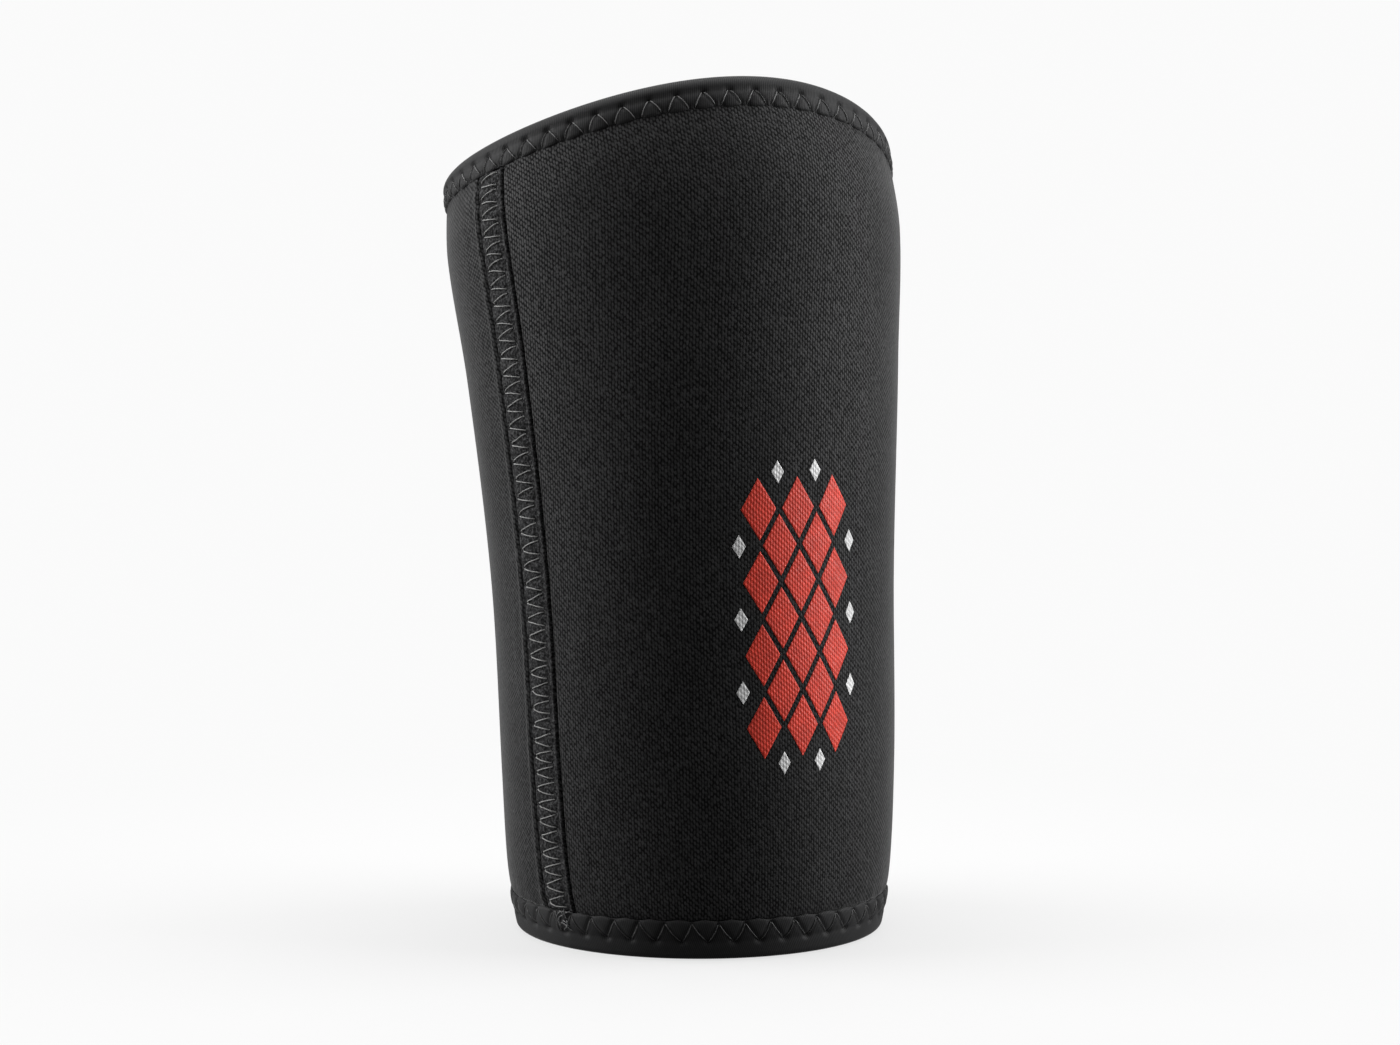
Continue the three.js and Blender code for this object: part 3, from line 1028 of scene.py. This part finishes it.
def make_seam_tape(shape, stitch, material):
    """Flat tape over the seam, as a closed strip from one binding to the other."""
    columns = SEAM_TAPE_COLUMNS
    across = np.linspace(-shape.seam_half, shape.seam_half, columns)
    high = column_rim(0.0, across) - TOP_BINDING.height - shape.gap
    low = BOTTOM_BINDING.height + shape.gap
    rows = round((SLEEVE_LENGTH - low) / SEAM_TAPE_ROW)
    length = low + np.linspace(0, 1, rows)[:, None] * (high - low)[None, :]
    phase = seam_phase(shape, stitch, length, across)
    face = tape_face(shape, across) + pucker(
        stitch.pit, stitch.groove, phase, stitch.seam_pitch, across,
        stitch.seam_right, -stitch.seam_left, stitch.apart)
    scallop = SEAM_SCALLOP * zigzag(phase) ** 3
    edge = across + scallop * np.exp(-(across + shape.seam_half) / SEAM_SCALLOP_WIDTH)
    turn = seam_turn(length) + edge / radius_at(length)
    top = surface(length, turn, np.maximum(face, -shape.pressed + shape.gap + THINNEST_TAPE))
    seat = surface(length, turn, np.full_like(length, -shape.pressed + shape.gap))
    corner_rows, corner_columns = grid_faces(rows, columns, False, False)
    upper = corner_rows * columns + corner_columns
    lower = upper[:, ::-1] + rows * columns
    faces = np.concatenate([upper, lower, strip_sides(rows, columns)])
    piece = add_piece("seam_tape_strip", np.concatenate([top, seat]), faces, [material])
    uv = np.stack([np.broadcast_to(across, length.shape), length], axis=-1).reshape(-1, 2)
    set_uv(piece, uv[faces % (rows * columns)])
    return piece


def strip_sides(rows, columns):
    """Faces that close a strip between its upper grid and the lower one that follows it."""
    below = rows * columns
    left = np.arange(rows) * columns
    right = left + columns - 1
    bottom = np.arange(columns)
    top = bottom + (rows - 1) * columns
    faces = []
    for line in (left[::-1], right, bottom, top[::-1]):
        faces.append(np.stack([line[1:], line[:-1], line[:-1] + below, line[1:] + below], axis=-1))
    return np.concatenate(faces)


# Stitches

# Thread: points of its rounded corners, power by which a stitch drops to its needle points, number of its
# strands, and the radius between two strands as a share of the whole
CORNER_POINTS = 4
DROP_POWER = 5.0
STRANDS = 3
STRAND_GROOVE = 0.72

# Left ends of the seam's pairs of legs: their least distance from the pair's middle as a share of the pitch,
# the share of the seam from which it grows, and by how much
PAIR_PARTING = 0.055
PARTING_START = 0.7
PARTING_GROWTH = 0.5

# Unevenness of the seam's needle points: start of its draws, and spread in phase and across the seam
SEAM_SEED = 3
UNEVEN_PHASE = 0.02
UNEVEN_ACROSS = 0.12 * MM

# Share of its radius by which the seam's thread lies above the tape at its needle points
SEAM_THREAD_LIFT = 0.5

# Shares of a rim leg's reach at its near point, half way and at its far point
LEG_BOW = (0.08, 0.62, 1.0)

# Sine of the turn up to which legs that lean away from the front lie open, and the front's least cosine
OPEN_LEAN = 0.35
FRONT_END = 0.35

# How far open and sunk legs lie in, as shares of the groove's depth
OPEN_LEG_SINK = 0.5
SUNK_LEG_SINK = 1.2

# Tack at the seam's lower end: start of its draws, number of threads, and ranges along, across and above
TACK_SEED = 7
TACK_THREADS = 11
TACK_ALONG = (4.6 * MM, 11.0 * MM)
TACK_ACROSS = (-3.4 * MM, 4.8 * MM)
TACK_ABOVE = (0.45 * MM, 0.75 * MM)

# Thread of the tack and of the rim legs as shares of the seam's thread, and how the tack's thread lies
TACK_THREAD = 0.8
LEG_THREAD = 0.75
TACK_ARCH = 0.15 * MM
TACK_SINK = 0.6 * MM

# Corner radii and samples along a thread
SEAM_CORNER = 0.5 * MM
TACK_CORNER = 2.5 * MM
LEG_CORNER = 3.0 * MM
SEAM_SAMPLES = 22
LEG_SAMPLES = 14

THREAD_INPUTS = [
    ("Thread Radius", "NodeSocketFloat"),
    ("Arch", "NodeSocketFloat"),
    ("Sink", "NodeSocketFloat"),
    ("Corner Radius", "NodeSocketFloat"),
    ("Twist", "NodeSocketFloat"),
    ("Samples", "NodeSocketInt"),
    ("Material", "NodeSocketMaterial"),
]


def new_tree(name, inputs):
    """Empty geometry tree with named inputs, and the sockets that give them."""
    tree = bpy.data.node_groups.new(name, "GeometryNodeTree")
    for title, kind in [("Geometry", "NodeSocketGeometry"), *inputs]:
        tree.interface.new_socket(title, in_out="INPUT", socket_type=kind)
    tree.interface.new_socket("Geometry", in_out="OUTPUT", socket_type="NodeSocketGeometry")
    return tree, tree.nodes.new("NodeGroupInput").outputs


def end_tree(tree, geometry, material):
    """Ends a tree in plain, smooth faces of one material."""
    smooth = add_node(tree, "GeometryNodeSetShadeSmooth", {"Geometry": geometry})
    real = add_node(tree, "GeometryNodeRealizeInstances", {"Geometry": smooth.outputs["Geometry"]})
    dressed = add_node(
        tree, "GeometryNodeSetMaterial", {"Geometry": real.outputs["Geometry"], "Material": material})
    add_node(tree, "NodeGroupOutput", {"Geometry": dressed.outputs["Geometry"]})
    return tree


def named_value(tree, name, kind):
    """Output of a named attribute."""
    return add_node(
        tree, "GeometryNodeInputNamedAttribute", {"Name": name}, data_type=kind).outputs["Attribute"]


def thread_tree():
    """Node tree that lays twisted thread along each line of a mesh, arched between its ends."""
    tree, given = new_tree("Laid thread", THREAD_INPUTS)
    lines = add_node(tree, "GeometryNodeMeshToCurve", {"Mesh": given["Geometry"]})
    corners = add_node(tree, "GeometryNodeFilletCurve", {
        "Curve": lines.outputs["Curve"], "Count": CORNER_POINTS, "Radius": given["Corner Radius"],
        "Limit Radius": True}, mode="POLY")
    evened = add_node(tree, "GeometryNodeResampleCurve", {
        "Curve": corners.outputs["Curve"], "Count": given["Samples"]})
    place = tree.nodes.new("GeometryNodeSplineParameter").outputs
    from_middle = math_node(tree, "MULTIPLY_ADD", place["Factor"], 2.0, -1.0)
    ends = math_node(tree, "POWER", math_node(tree, "ABSOLUTE", from_middle), DROP_POWER)
    drop = math_node(tree, "MULTIPLY", ends, math_node(tree, "ADD", given["Arch"], given["Sink"]))
    rise = math_node(tree, "SUBTRACT", given["Arch"], drop)
    arched = add_node(tree, "GeometryNodeSetPosition", {
        "Geometry": evened.outputs["Curve"],
        "Offset": scaled(tree, named_value(tree, "outward", "FLOAT_VECTOR"), rise)})
    twisted = add_node(tree, "GeometryNodeSetCurveTilt", {
        "Curve": arched.outputs["Geometry"],
        "Tilt": math_node(tree, "MULTIPLY", place["Length"], given["Twist"])})
    strands = add_node(tree, "GeometryNodeCurveStar", {
        "Points": STRANDS, "Outer Radius": given["Thread Radius"],
        "Inner Radius": math_node(tree, "MULTIPLY", given["Thread Radius"], STRAND_GROOVE)})
    laid = add_node(tree, "GeometryNodeCurveToMesh", {
        "Curve": twisted.outputs["Curve"], "Profile Curve": strands.outputs["Curve"], "Fill Caps": True})
    return end_tree(tree, laid.outputs["Mesh"], given["Material"])


def input_name(tree, name):
    """Identifier of a tree's input socket."""
    for item in tree.interface.items_tree:
        if item.item_type == "SOCKET" and item.in_out == "INPUT" and item.name == name:
            return item.identifier
    raise KeyError(name)


def run_tree(name, tree, mesh, values):
    """Object of the plain mesh that a node tree makes from another mesh."""
    piece = bpy.data.objects.new(name, mesh)
    bpy.context.scene.collection.objects.link(piece)
    modifier = piece.modifiers.new("Builder", "NODES")
    modifier.node_group = tree
    for key, value in values.items():
        modifier[input_name(tree, key)] = value
    graph = bpy.context.evaluated_depsgraph_get()
    made = bpy.data.meshes.new_from_object(piece.evaluated_get(graph), depsgraph=graph)
    piece.modifiers.remove(modifier)
    piece.data = made
    made.name = name
    shell = bmesh.new()
    shell.from_mesh(made)
    bmesh.ops.recalc_face_normals(shell, faces=shell.faces)
    shell.to_mesh(made)
    shell.free()
    return piece


def lay_thread(name, tree, points, normals, values):
    """Object of thread along lines of points, each line an equal number of points."""
    count, size = points.shape[:2]
    first = np.arange(count)[:, None] * size + np.arange(size - 1)[None, :]
    edges = np.stack([first, first + 1], axis=-1).reshape(-1, 2)
    mesh = bpy.data.meshes.new(name)
    mesh.from_pydata(points.reshape(-1, 3).tolist(), edges.tolist(), [])
    outwards = mesh.attributes.new("outward", "FLOAT_VECTOR", "POINT")
    outwards.data.foreach_set("vector", normals.astype(np.float32).ravel())
    return run_tree(name, tree, mesh, values)


def seam_lines(shape, stitch):
    """Needle points of the seam's stitches: pairs of legs that part at the left, further near the top."""
    count = seam_count(shape, stitch)
    left, right = -stitch.seam_left, stitch.seam_right
    middle = (left + right) / 2
    lines = []
    for step in range(count):
        end = 0.5 - max(PAIR_PARTING, PARTING_GROWTH * (step / count - PARTING_START))
        leg = [(stitch.apart, right), ((end + stitch.apart) / 2, middle), (end, left)]
        lines.append([(step + phase, across) for phase, across in leg])
        lines.append([(step + 1 - phase, across) for phase, across in leg])
    draw = np.random.default_rng(SEAM_SEED)
    phase, across = np.moveaxis(np.array(lines), -1, 0)
    phase = phase + draw.normal(0, UNEVEN_PHASE, phase.shape)
    across = across + draw.normal(0, UNEVEN_ACROSS, across.shape)
    low, high = seam_ends(shape)
    level = low + (high - low) * phase / count
    length = level + seam_climb(level) * across
    turn = seam_turn(length) + across / radius_at(length)
    offset = tape_face(shape, across) + SEAM_THREAD_LIFT * stitch.thread_radius
    return surface(length, turn, offset), outward(length, turn)


def rim_lines(binding, shape, count, at_top, inside, lies_open):
    """Needle points of a binding's stitches: two bowed legs from each near point to the far level.

    The legs lie open at the front, and on each side those that lean back to it; the others are sunk."""
    lean = np.array([-1, 1])[:, None]
    near_turn = seam_turn(SLEEVE_LENGTH if at_top else 0.0) + FULL_TURN * np.arange(count) / count
    to_front = -lean * np.sin(near_turn)
    chosen = ((to_front > -OPEN_LEAN) & (np.cos(near_turn) > FRONT_END)) == lies_open
    aside = lean * np.array(binding.reach)[:, None] * np.array(LEG_BOW)
    phase = np.arange(count)[None, :, None] + aside[:, None, :]
    share = phase[chosen] / count
    middle = (binding.near + binding.far) / 2
    depth = np.broadcast_to(np.array([binding.near, middle, binding.far]), share.shape)
    length = column_rim(share, 0.0) - depth if at_top else depth
    turn = column_turn(share, 0.0, length)
    sunk = (OPEN_LEG_SINK if lies_open else SUNK_LEG_SINK) * binding.groove
    proud = shape.gap + shape.tape - shape.pressed + fold_face(binding, depth) - sunk
    offset = -shape.wall - proud if inside else proud
    facing = -1.0 if inside else 1.0
    return surface(length, turn, offset), facing * outward(length, turn)


def tack_lines():
    """Loose crossing threads where the seam's stitching ends on the bottom binding."""
    draw = np.random.default_rng(TACK_SEED)
    size = (TACK_THREADS, 3)
    length = draw.uniform(*TACK_ALONG, size)
    across = draw.uniform(*TACK_ACROSS, size)
    turn = seam_turn(length) + across / radius_at(length)
    offset = draw.uniform(*TACK_ABOVE, size)
    return surface(length, turn, offset), outward(length, turn)


# Print

# Film: points along each side of a lozenge, its distance from the cloth, and the share of the way to the
# lozenge's middle over which it comes to its full thickness
FILM_POINTS = 15
FILM_SEAT = 0.03 * MM
FILM_EDGE = 1 / 16

# Span of the sum and of the difference of a square's two coordinates, which turn it into a lozenge
TURNED_SPAN = 4.0

# Rays that find the cloth start this many radii from the axis, and points closer than this become one
RAY_START = 1.3
SAME_POINT = 0.001 * MM

FILM_INPUTS = [
    ("Cloth", "NodeSocketObject"),
    ("Middle", "NodeSocketVector"),
    ("Up", "NodeSocketVector"),
    ("Facing", "NodeSocketVector"),
    ("Radius", "NodeSocketFloat"),
    ("Width", "NodeSocketFloat"),
    ("Height", "NodeSocketFloat"),
    ("Film", "NodeSocketFloat"),
    ("Seat", "NodeSocketFloat"),
    ("Points", "NodeSocketInt"),
    ("Material", "NodeSocketMaterial"),
]


def film_plan(tree, given):
    """Flat plan of the print: a lozenge at each point, with the share of the way in from its edge."""
    square = {"Size X": 2.0, "Size Y": 2.0, "Vertices X": given["Points"], "Vertices Y": given["Points"]}
    grid = add_node(tree, "GeometryNodeMeshGrid", square)
    even = split_vector(tree, tree.nodes.new("GeometryNodeInputPosition").outputs["Position"])
    p, q = [math_node(tree, "SINE", math_node(tree, "MULTIPLY", part, math.pi / 2)) for part in even]
    reach = math_node(tree, "MAXIMUM", *[math_node(tree, "ABSOLUTE", part) for part in (p, q)])
    marked = add_node(tree, "GeometryNodeStoreNamedAttribute", {
        "Geometry": grid.outputs["Mesh"], "Name": "edge", "Value": math_node(tree, "SUBTRACT", 1.0, reach)},
        data_type="FLOAT", domain="POINT")
    corner = add_node(tree, "ShaderNodeCombineXYZ", {
        "X": math_node(tree, "MULTIPLY", math_node(tree, "SUBTRACT", q, p), given["Width"]),
        "Y": math_node(tree, "MULTIPLY", math_node(tree, "ADD", p, q), given["Height"])})
    lozenge = add_node(tree, "GeometryNodeSetPosition", {
        "Geometry": marked.outputs["Geometry"],
        "Position": scaled(tree, corner.outputs["Vector"], 1 / TURNED_SPAN)})
    placed = add_node(tree, "GeometryNodeInstanceOnPoints", {
        "Points": given["Geometry"], "Instance": lozenge.outputs["Geometry"]})
    real = add_node(tree, "GeometryNodeRealizeInstances", {"Geometry": placed.outputs["Instances"]})
    return real.outputs["Geometry"]


def film_tree():
    """Node tree that wraps a flat plan of lozenges round a cloth and lays them on it as closed films."""
    tree, given = new_tree("Laid film", FILM_INPUTS)
    plan = film_plan(tree, given)
    x, y = split_vector(tree, tree.nodes.new("GeometryNodeInputPosition").outputs["Position"])
    angle = math_node(tree, "DIVIDE", x, given["Radius"])
    right = vector_node(tree, "CROSS_PRODUCT", given["Up"], given["Facing"])
    out = vector_node(
        tree, "ADD", scaled(tree, given["Facing"], math_node(tree, "COSINE", angle)),
        scaled(tree, right, math_node(tree, "SINE", angle)))
    level = vector_node(tree, "ADD", given["Middle"], scaled(tree, given["Up"], y))
    above = vector_node(tree, "ADD", level, scaled(tree, scaled(tree, out, given["Radius"]), RAY_START))
    cloth = add_node(tree, "GeometryNodeObjectInfo", {"Object": given["Cloth"]})
    hit = add_node(tree, "GeometryNodeRaycast", {
        "Target Geometry": cloth.outputs["Geometry"], "Attribute": named_value(tree, "cloth", "FLOAT_VECTOR"),
        "Source Position": above, "Ray Direction": scaled(tree, out, -1.0), "Ray Length": given["Radius"]},
        data_type="FLOAT_VECTOR")
    mapped = add_node(tree, "GeometryNodeStoreNamedAttribute", {
        "Geometry": plan, "Name": "cloth", "Value": hit.outputs["Attribute"]},
        data_type="FLOAT2", domain="CORNER")
    slope = math_node(tree, "DIVIDE", named_value(tree, "edge", "FLOAT"), FILM_EDGE)
    crown = math_node(tree, "SQRT", math_node(tree, "MINIMUM", slope, 1.0))
    thick = math_node(tree, "MULTIPLY_ADD", crown, given["Film"], given["Seat"])
    faces = []
    for rise in (thick, given["Seat"]):
        place = vector_node(tree, "ADD", hit.outputs["Hit Position"], scaled(tree, out, rise))
        faces.append(add_node(tree, "GeometryNodeSetPosition", {
            "Geometry": mapped.outputs["Geometry"], "Position": place}).outputs["Geometry"])
    under = add_node(tree, "GeometryNodeFlipFaces", {"Mesh": faces[1]})
    both = add_node(tree, "GeometryNodeJoinGeometry", {"Geometry": faces[0]})
    put(tree, both.inputs["Geometry"], under.outputs["Mesh"])
    shell = add_node(tree, "GeometryNodeMergeByDistance", {
        "Geometry": both.outputs["Geometry"], "Distance": SAME_POINT})
    return end_tree(tree, shell.outputs["Geometry"], given["Material"])


def lozenge_places(film):
    """Middles of the lattice's lozenges: full rows, and between them rows of one fewer."""
    places = []
    for row in range(2 * film.rows - 1):
        count = film.columns - row % 2
        for column in range(count):
            x = (column - (count - 1) / 2) * film.width
            places.append((x, (row - film.rows + 1) * film.height / 2, 0))
    return places


def notch_places(film):
    """Middles of the small lozenges, in the notches all round the lattice."""
    side = film.columns * film.width / 2
    end = film.rows * film.height / 2
    places = []
    for row in range(film.rows - 1):
        y = (row - film.rows / 2 + 1) * film.height
        places += [(-side, y, 0), (side, y, 0)]
    for column in range(film.columns - 1):
        x = (column - film.columns / 2 + 1) * film.width
        places += [(x, -end, 0), (x, end, 0)]
    return places


# Stage

WHITE = (1, 1, 1, 1)

# Width in pixels of the image that the camera frames, and of its sensor in millimetres
IMAGE_WIDTH = 1400
SENSOR_WIDTH = 36.0

# Floor: half of its side, its surface, and the distances between which it passes into the backdrop, with the
# backdrop's share there
FLOOR_HALF = 6.0
FLOOR_COLOUR = (0.5, 0.5, 0.5, 1)
FLOOR_ROUGHNESS = 0.6
FLOOR_SPECULAR = 0.2
FLOOR_BLEND = (0.05, 0.3)
BACKDROP_SHARE = (0.7, 1.0)

# Lights: height that they face, places from there, widths and heights, and shares of the power that is set
LIGHT_AIM = 0.11
Light = namedtuple("Light", "place size share")
LEFT_LIGHT = Light(place=(-1.1, 0.05, 0.35), size=(0.9, 1.2), share=0.88)
RIGHT_LIGHT = Light(place=(1.1, 0.05, 0.35), size=(0.9, 1.2), share=0.9)
TOP_LIGHT = Light(place=(0, 0.3, 1.2), size=(1.4, 1.0), share=1.0)


def area_light(name, light, aim, power):
    """Soft light that faces a point."""
    data = bpy.data.lights.new(name, "AREA")
    data.shape = "RECTANGLE"
    data.size, data.size_y = light.size
    data.energy = light.share * power
    lamp = bpy.data.objects.new(name, data)
    bpy.context.scene.collection.objects.link(lamp)
    lamp.location = aim + Vector(light.place)
    look_at(lamp, aim)


def look_at(thing, aim):
    """Turns a light or a camera to face a point."""
    thing.rotation_euler = (aim - thing.location).to_track_quat("-Z", "Y").to_euler()


def blend_shaders(tree, share, first, second, output):
    """Ends the tree of a material or a world in a mix of two shaders."""
    blend = add_node(tree, "ShaderNodeMixShader", {0: share, 1: first, 2: second})
    put(tree, tree.nodes[output].inputs["Surface"], blend.outputs["Shader"])


def floor_material(stage):
    """Pale floor that passes into the backdrop away from the sleeve."""
    material, tree, shader = new_material("pale_floor", FLOOR_SPECULAR, sheen=0.0)
    put(tree, shader.inputs["Base Color"], FLOOR_COLOUR)
    put(tree, shader.inputs["Roughness"], FLOOR_ROUGHNESS)
    glow = add_node(tree, "ShaderNodeEmission", {"Color": WHITE, "Strength": stage.backdrop})
    place = tree.nodes.new("ShaderNodeTexCoord").outputs["Object"]
    away = add_node(tree, "ShaderNodeVectorMath", {0: place}, operation="LENGTH").outputs["Value"]
    share = smooth_step(tree, away, *FLOOR_BLEND, *BACKDROP_SHARE)
    blend_shaders(tree, share, shader.outputs["BSDF"], glow.outputs["Emission"], "Material Output")
    return material


def set_world(scene, stage):
    """Even room light, with a plain pale backdrop where the camera sees past the floor."""
    world = bpy.data.worlds.new("room")
    world.use_nodes = True
    tree = world.node_tree
    room = tree.nodes["Background"]
    put(tree, room.inputs["Color"], WHITE)
    put(tree, room.inputs["Strength"], stage.fill)
    backdrop = add_node(tree, "ShaderNodeBackground", {"Color": WHITE, "Strength": stage.backdrop})
    seen = tree.nodes.new("ShaderNodeLightPath").outputs["Is Camera Ray"]
    blend_shaders(tree, seen, room.outputs["Background"], backdrop.outputs["Background"], "World Output")
    scene.world = world


# Operators


class SLEEVE_OT_body(Operator):
    """Builds the knitted body"""

    bl_idname = "sleeve.body"
    bl_label = "Knitted body"

    def execute(self, context):
        scene = context.scene
        shape = scene.sleeve_shape
        body = make_body(shape, scene.sleeve_stitches, scene.sleeve_colours)
        finish_piece(body, "sleeve_body")
        return {"FINISHED"}


class SLEEVE_OT_bindings(Operator):
    """Builds the folded bindings of both rims"""

    bl_idname = "sleeve.bindings"
    bl_label = "Folded bindings"

    def execute(self, context):
        scene = context.scene
        shape, stitch = scene.sleeve_shape, scene.sleeve_stitches
        material = tape_material("ribbed_tape", scene.sleeve_colours.binding)
        bottom_count, top_count = rim_counts()
        for node, binding, count, at_top in (
                ("bottom_binding", BOTTOM_BINDING, bottom_count, False),
                ("top_binding", TOP_BINDING, top_count, True)):
            piece = make_binding(node + "_tape", binding, shape, stitch, count, material, at_top)
            finish_piece(piece, node)
        return {"FINISHED"}


class SLEEVE_OT_seam_tape(Operator):
    """Builds the tape over the seam"""

    bl_idname = "sleeve.seam_tape"
    bl_label = "Seam tape"

    def execute(self, context):
        scene = context.scene
        shape = scene.sleeve_shape
        material = felt_material("felt_tape", scene.sleeve_colours.seam)
        piece = make_seam_tape(shape, scene.sleeve_stitches, material)
        finish_piece(piece, "seam_tape")
        return {"FINISHED"}


class SLEEVE_OT_stitches(Operator):
    """Sews the seam and both bindings"""

    bl_idname = "sleeve.stitches"
    bl_label = "Stitches"

    def execute(self, context):
        scene = context.scene
        shape, stitch, colours = scene.sleeve_shape, scene.sleeve_stitches, scene.sleeve_colours
        tree = thread_tree()
        seam_thread = thread_material("seam_thread", colours.seam_thread)
        # Rim thread is painted lit and the next one painted shade: two copies of one thread
        rim_thread = thread_material("rim_thread", colours.rim_thread)
        painted_shade_thread = thread_material("painted_shade_thread", colours.painted_shade_thread)
        bottom_count, top_count = rim_counts()
        values = {
            "Thread Radius": stitch.thread_radius, "Arch": stitch.arch, "Sink": stitch.sink,
            "Corner Radius": SEAM_CORNER, "Twist": stitch.twist, "Samples": SEAM_SAMPLES,
            "Material": seam_thread}
        rows = [
            ("seam_stitches", seam_lines(shape, stitch), {}),
            ("seam_end_tack", tack_lines(), {
                "Thread Radius": TACK_THREAD * stitch.thread_radius, "Arch": TACK_ARCH, "Sink": TACK_SINK,
                "Corner Radius": TACK_CORNER, "Material": rim_thread}),
        ]
        legs = {
            "Thread Radius": LEG_THREAD * stitch.thread_radius, "Corner Radius": LEG_CORNER,
            "Samples": LEG_SAMPLES}
        for rim, binding, count, at_top, thread in (
                ("bottom", BOTTOM_BINDING, bottom_count, False, painted_shade_thread),
                ("top", TOP_BINDING, top_count, True, rim_thread)):
            for inside, face in ((False, "outer"), (True, "inner")):
                for lies_open, way in ((True, "open"), (False, "sunk")):
                    lines = rim_lines(binding, shape, count, at_top, inside, lies_open)
                    # Open legs on the top binding take the painted lit copy, the others the painted shade
                    # copy
                    dress = {"Material": thread if lies_open else painted_shade_thread}
                    rows.append((f"{rim}_binding_{face}_{way}_legs", lines, legs | dress))
        for name, (points, normals), changes in rows:
            finish_piece(lay_thread(name, tree, points, normals, values | changes))
        return {"FINISHED"}


class SLEEVE_OT_print(Operator):
    """Prints a lattice of lozenges on the body"""

    bl_idname = "sleeve.print"
    bl_label = "Printed lattice"

    def execute(self, context):
        scene = context.scene
        film, colours = scene.sleeve_print, scene.sleeve_colours
        tree = film_tree()
        middle, _, _ = section_axes(np.array(film.middle))
        bare = film.line / (film.width * film.height / math.hypot(film.width, film.height))
        values = {
            "Cloth": bpy.data.objects["sleeve_body_cloth"], "Middle": middle.tolist(),
            "Up": axis_direction(np.array(film.middle)).tolist(),
            "Facing": outward(np.array(film.middle), np.array(film.turn)).tolist(),
            "Radius": float(radius_at(film.middle)), "Film": film.film, "Seat": FILM_SEAT,
            "Points": FILM_POINTS}
        for name, places, share, colour, slot in (
                ("print_lozenges", lozenge_places(film), 1 - bare, colours.red, "print_red"),
                ("print_small_lozenges", notch_places(film), film.small, colours.white, "print_white")):
            mesh = bpy.data.meshes.new(name)
            mesh.from_pydata(places, [], [])
            sizes = {"Width": share * film.width, "Height": share * film.height}
            dress = {"Material": film_material(name + "_film", colour)}
            finish_piece(run_tree(name, tree, mesh, values | sizes | dress))
        return {"FINISHED"}


class SLEEVE_OT_stage(Operator):
    """Sets the floor, the lights and the camera"""

    bl_idname = "sleeve.stage"
    bl_label = "Stage"

    def execute(self, context):
        scene = context.scene
        stage = scene.sleeve_stage
        base = Vector(AXIS_POINTS[0])
        corners = [(x * FLOOR_HALF, y * FLOOR_HALF, 0) for x, y in ((-1, -1), (1, -1), (1, 1), (-1, 1))]
        floor = add_piece("floor", corners, [[0, 1, 2, 3]], [floor_material(stage)], smooth=False)
        floor.visible_diffuse = False
        floor.visible_glossy = False
        middle = base + Vector((0, 0, LIGHT_AIM))
        area_light("left_light", LEFT_LIGHT, middle, stage.side_power)
        area_light("right_light", RIGHT_LIGHT, middle, stage.side_power)
        area_light("top_light", TOP_LIGHT, middle, stage.top_power)
        set_world(scene, stage)
        data = bpy.data.cameras.new("camera")
        data.sensor_fit = "HORIZONTAL"
        data.sensor_width = SENSOR_WIDTH
        data.lens = stage.focal_pixels / IMAGE_WIDTH * data.sensor_width
        camera = bpy.data.objects.new("camera", data)
        scene.collection.objects.link(camera)
        camera.location = base + Vector((stage.aside, -stage.distance, stage.camera_height))
        look_at(camera, base + Vector((stage.aside, 0, stage.aim_height)))
        scene.camera = camera
        scene.view_settings.view_transform = "Standard"
        return {"FINISHED"}


class SLEEVE_PT_builder(Panel):
    """Lists the sleeve's pieces and sizes"""

    bl_idname = "SLEEVE_PT_builder"
    bl_label = "Elbow sleeve"
    bl_space_type = "VIEW_3D"
    bl_region_type = "UI"
    bl_category = "Sleeve"

    def draw(self, context):
        layout = self.layout
        for operator in OPERATORS:
            layout.operator(operator.bl_idname)
        for name in GROUPS:
            settings = getattr(context.scene, name)
            box = layout.box()
            for item in settings.bl_rna.properties:
                if not item.is_readonly and item.identifier != "name":
                    box.prop(settings, item.identifier)


GROUPS = {
    "sleeve_shape": SleeveShape,
    "sleeve_stitches": StitchSizes,
    "sleeve_print": PrintSizes,
    "sleeve_colours": ClothColours,
    "sleeve_stage": StageSettings,
}
OPERATORS = (
    SLEEVE_OT_stage,
    SLEEVE_OT_body,
    SLEEVE_OT_bindings,
    SLEEVE_OT_seam_tape,
    SLEEVE_OT_stitches,
    SLEEVE_OT_print,
)


def register():
    """Registers the settings, the operators and the panel."""
    for group in GROUPS.values():
        bpy.utils.register_class(group)
    for name, group in GROUPS.items():
        setattr(bpy.types.Scene, name, PointerProperty(type=group))
    for operator in OPERATORS:
        bpy.utils.register_class(operator)
    bpy.utils.register_class(SLEEVE_PT_builder)


def unregister():
    """Takes the panel, the operators and the settings out again."""
    bpy.utils.unregister_class(SLEEVE_PT_builder)
    for operator in reversed(OPERATORS):
        bpy.utils.unregister_class(operator)
    for name in GROUPS:
        delattr(bpy.types.Scene, name)
    for group in reversed(list(GROUPS.values())):
        bpy.utils.unregister_class(group)


def main():
    """Builds the whole sleeve on its stage."""
    register()
    bpy.ops.sleeve.stage()
    bpy.ops.sleeve.body()
    bpy.ops.sleeve.bindings()
    bpy.ops.sleeve.seam_tape()
    bpy.ops.sleeve.stitches()
    bpy.ops.sleeve.print()


if __name__ == "__main__":
    main()
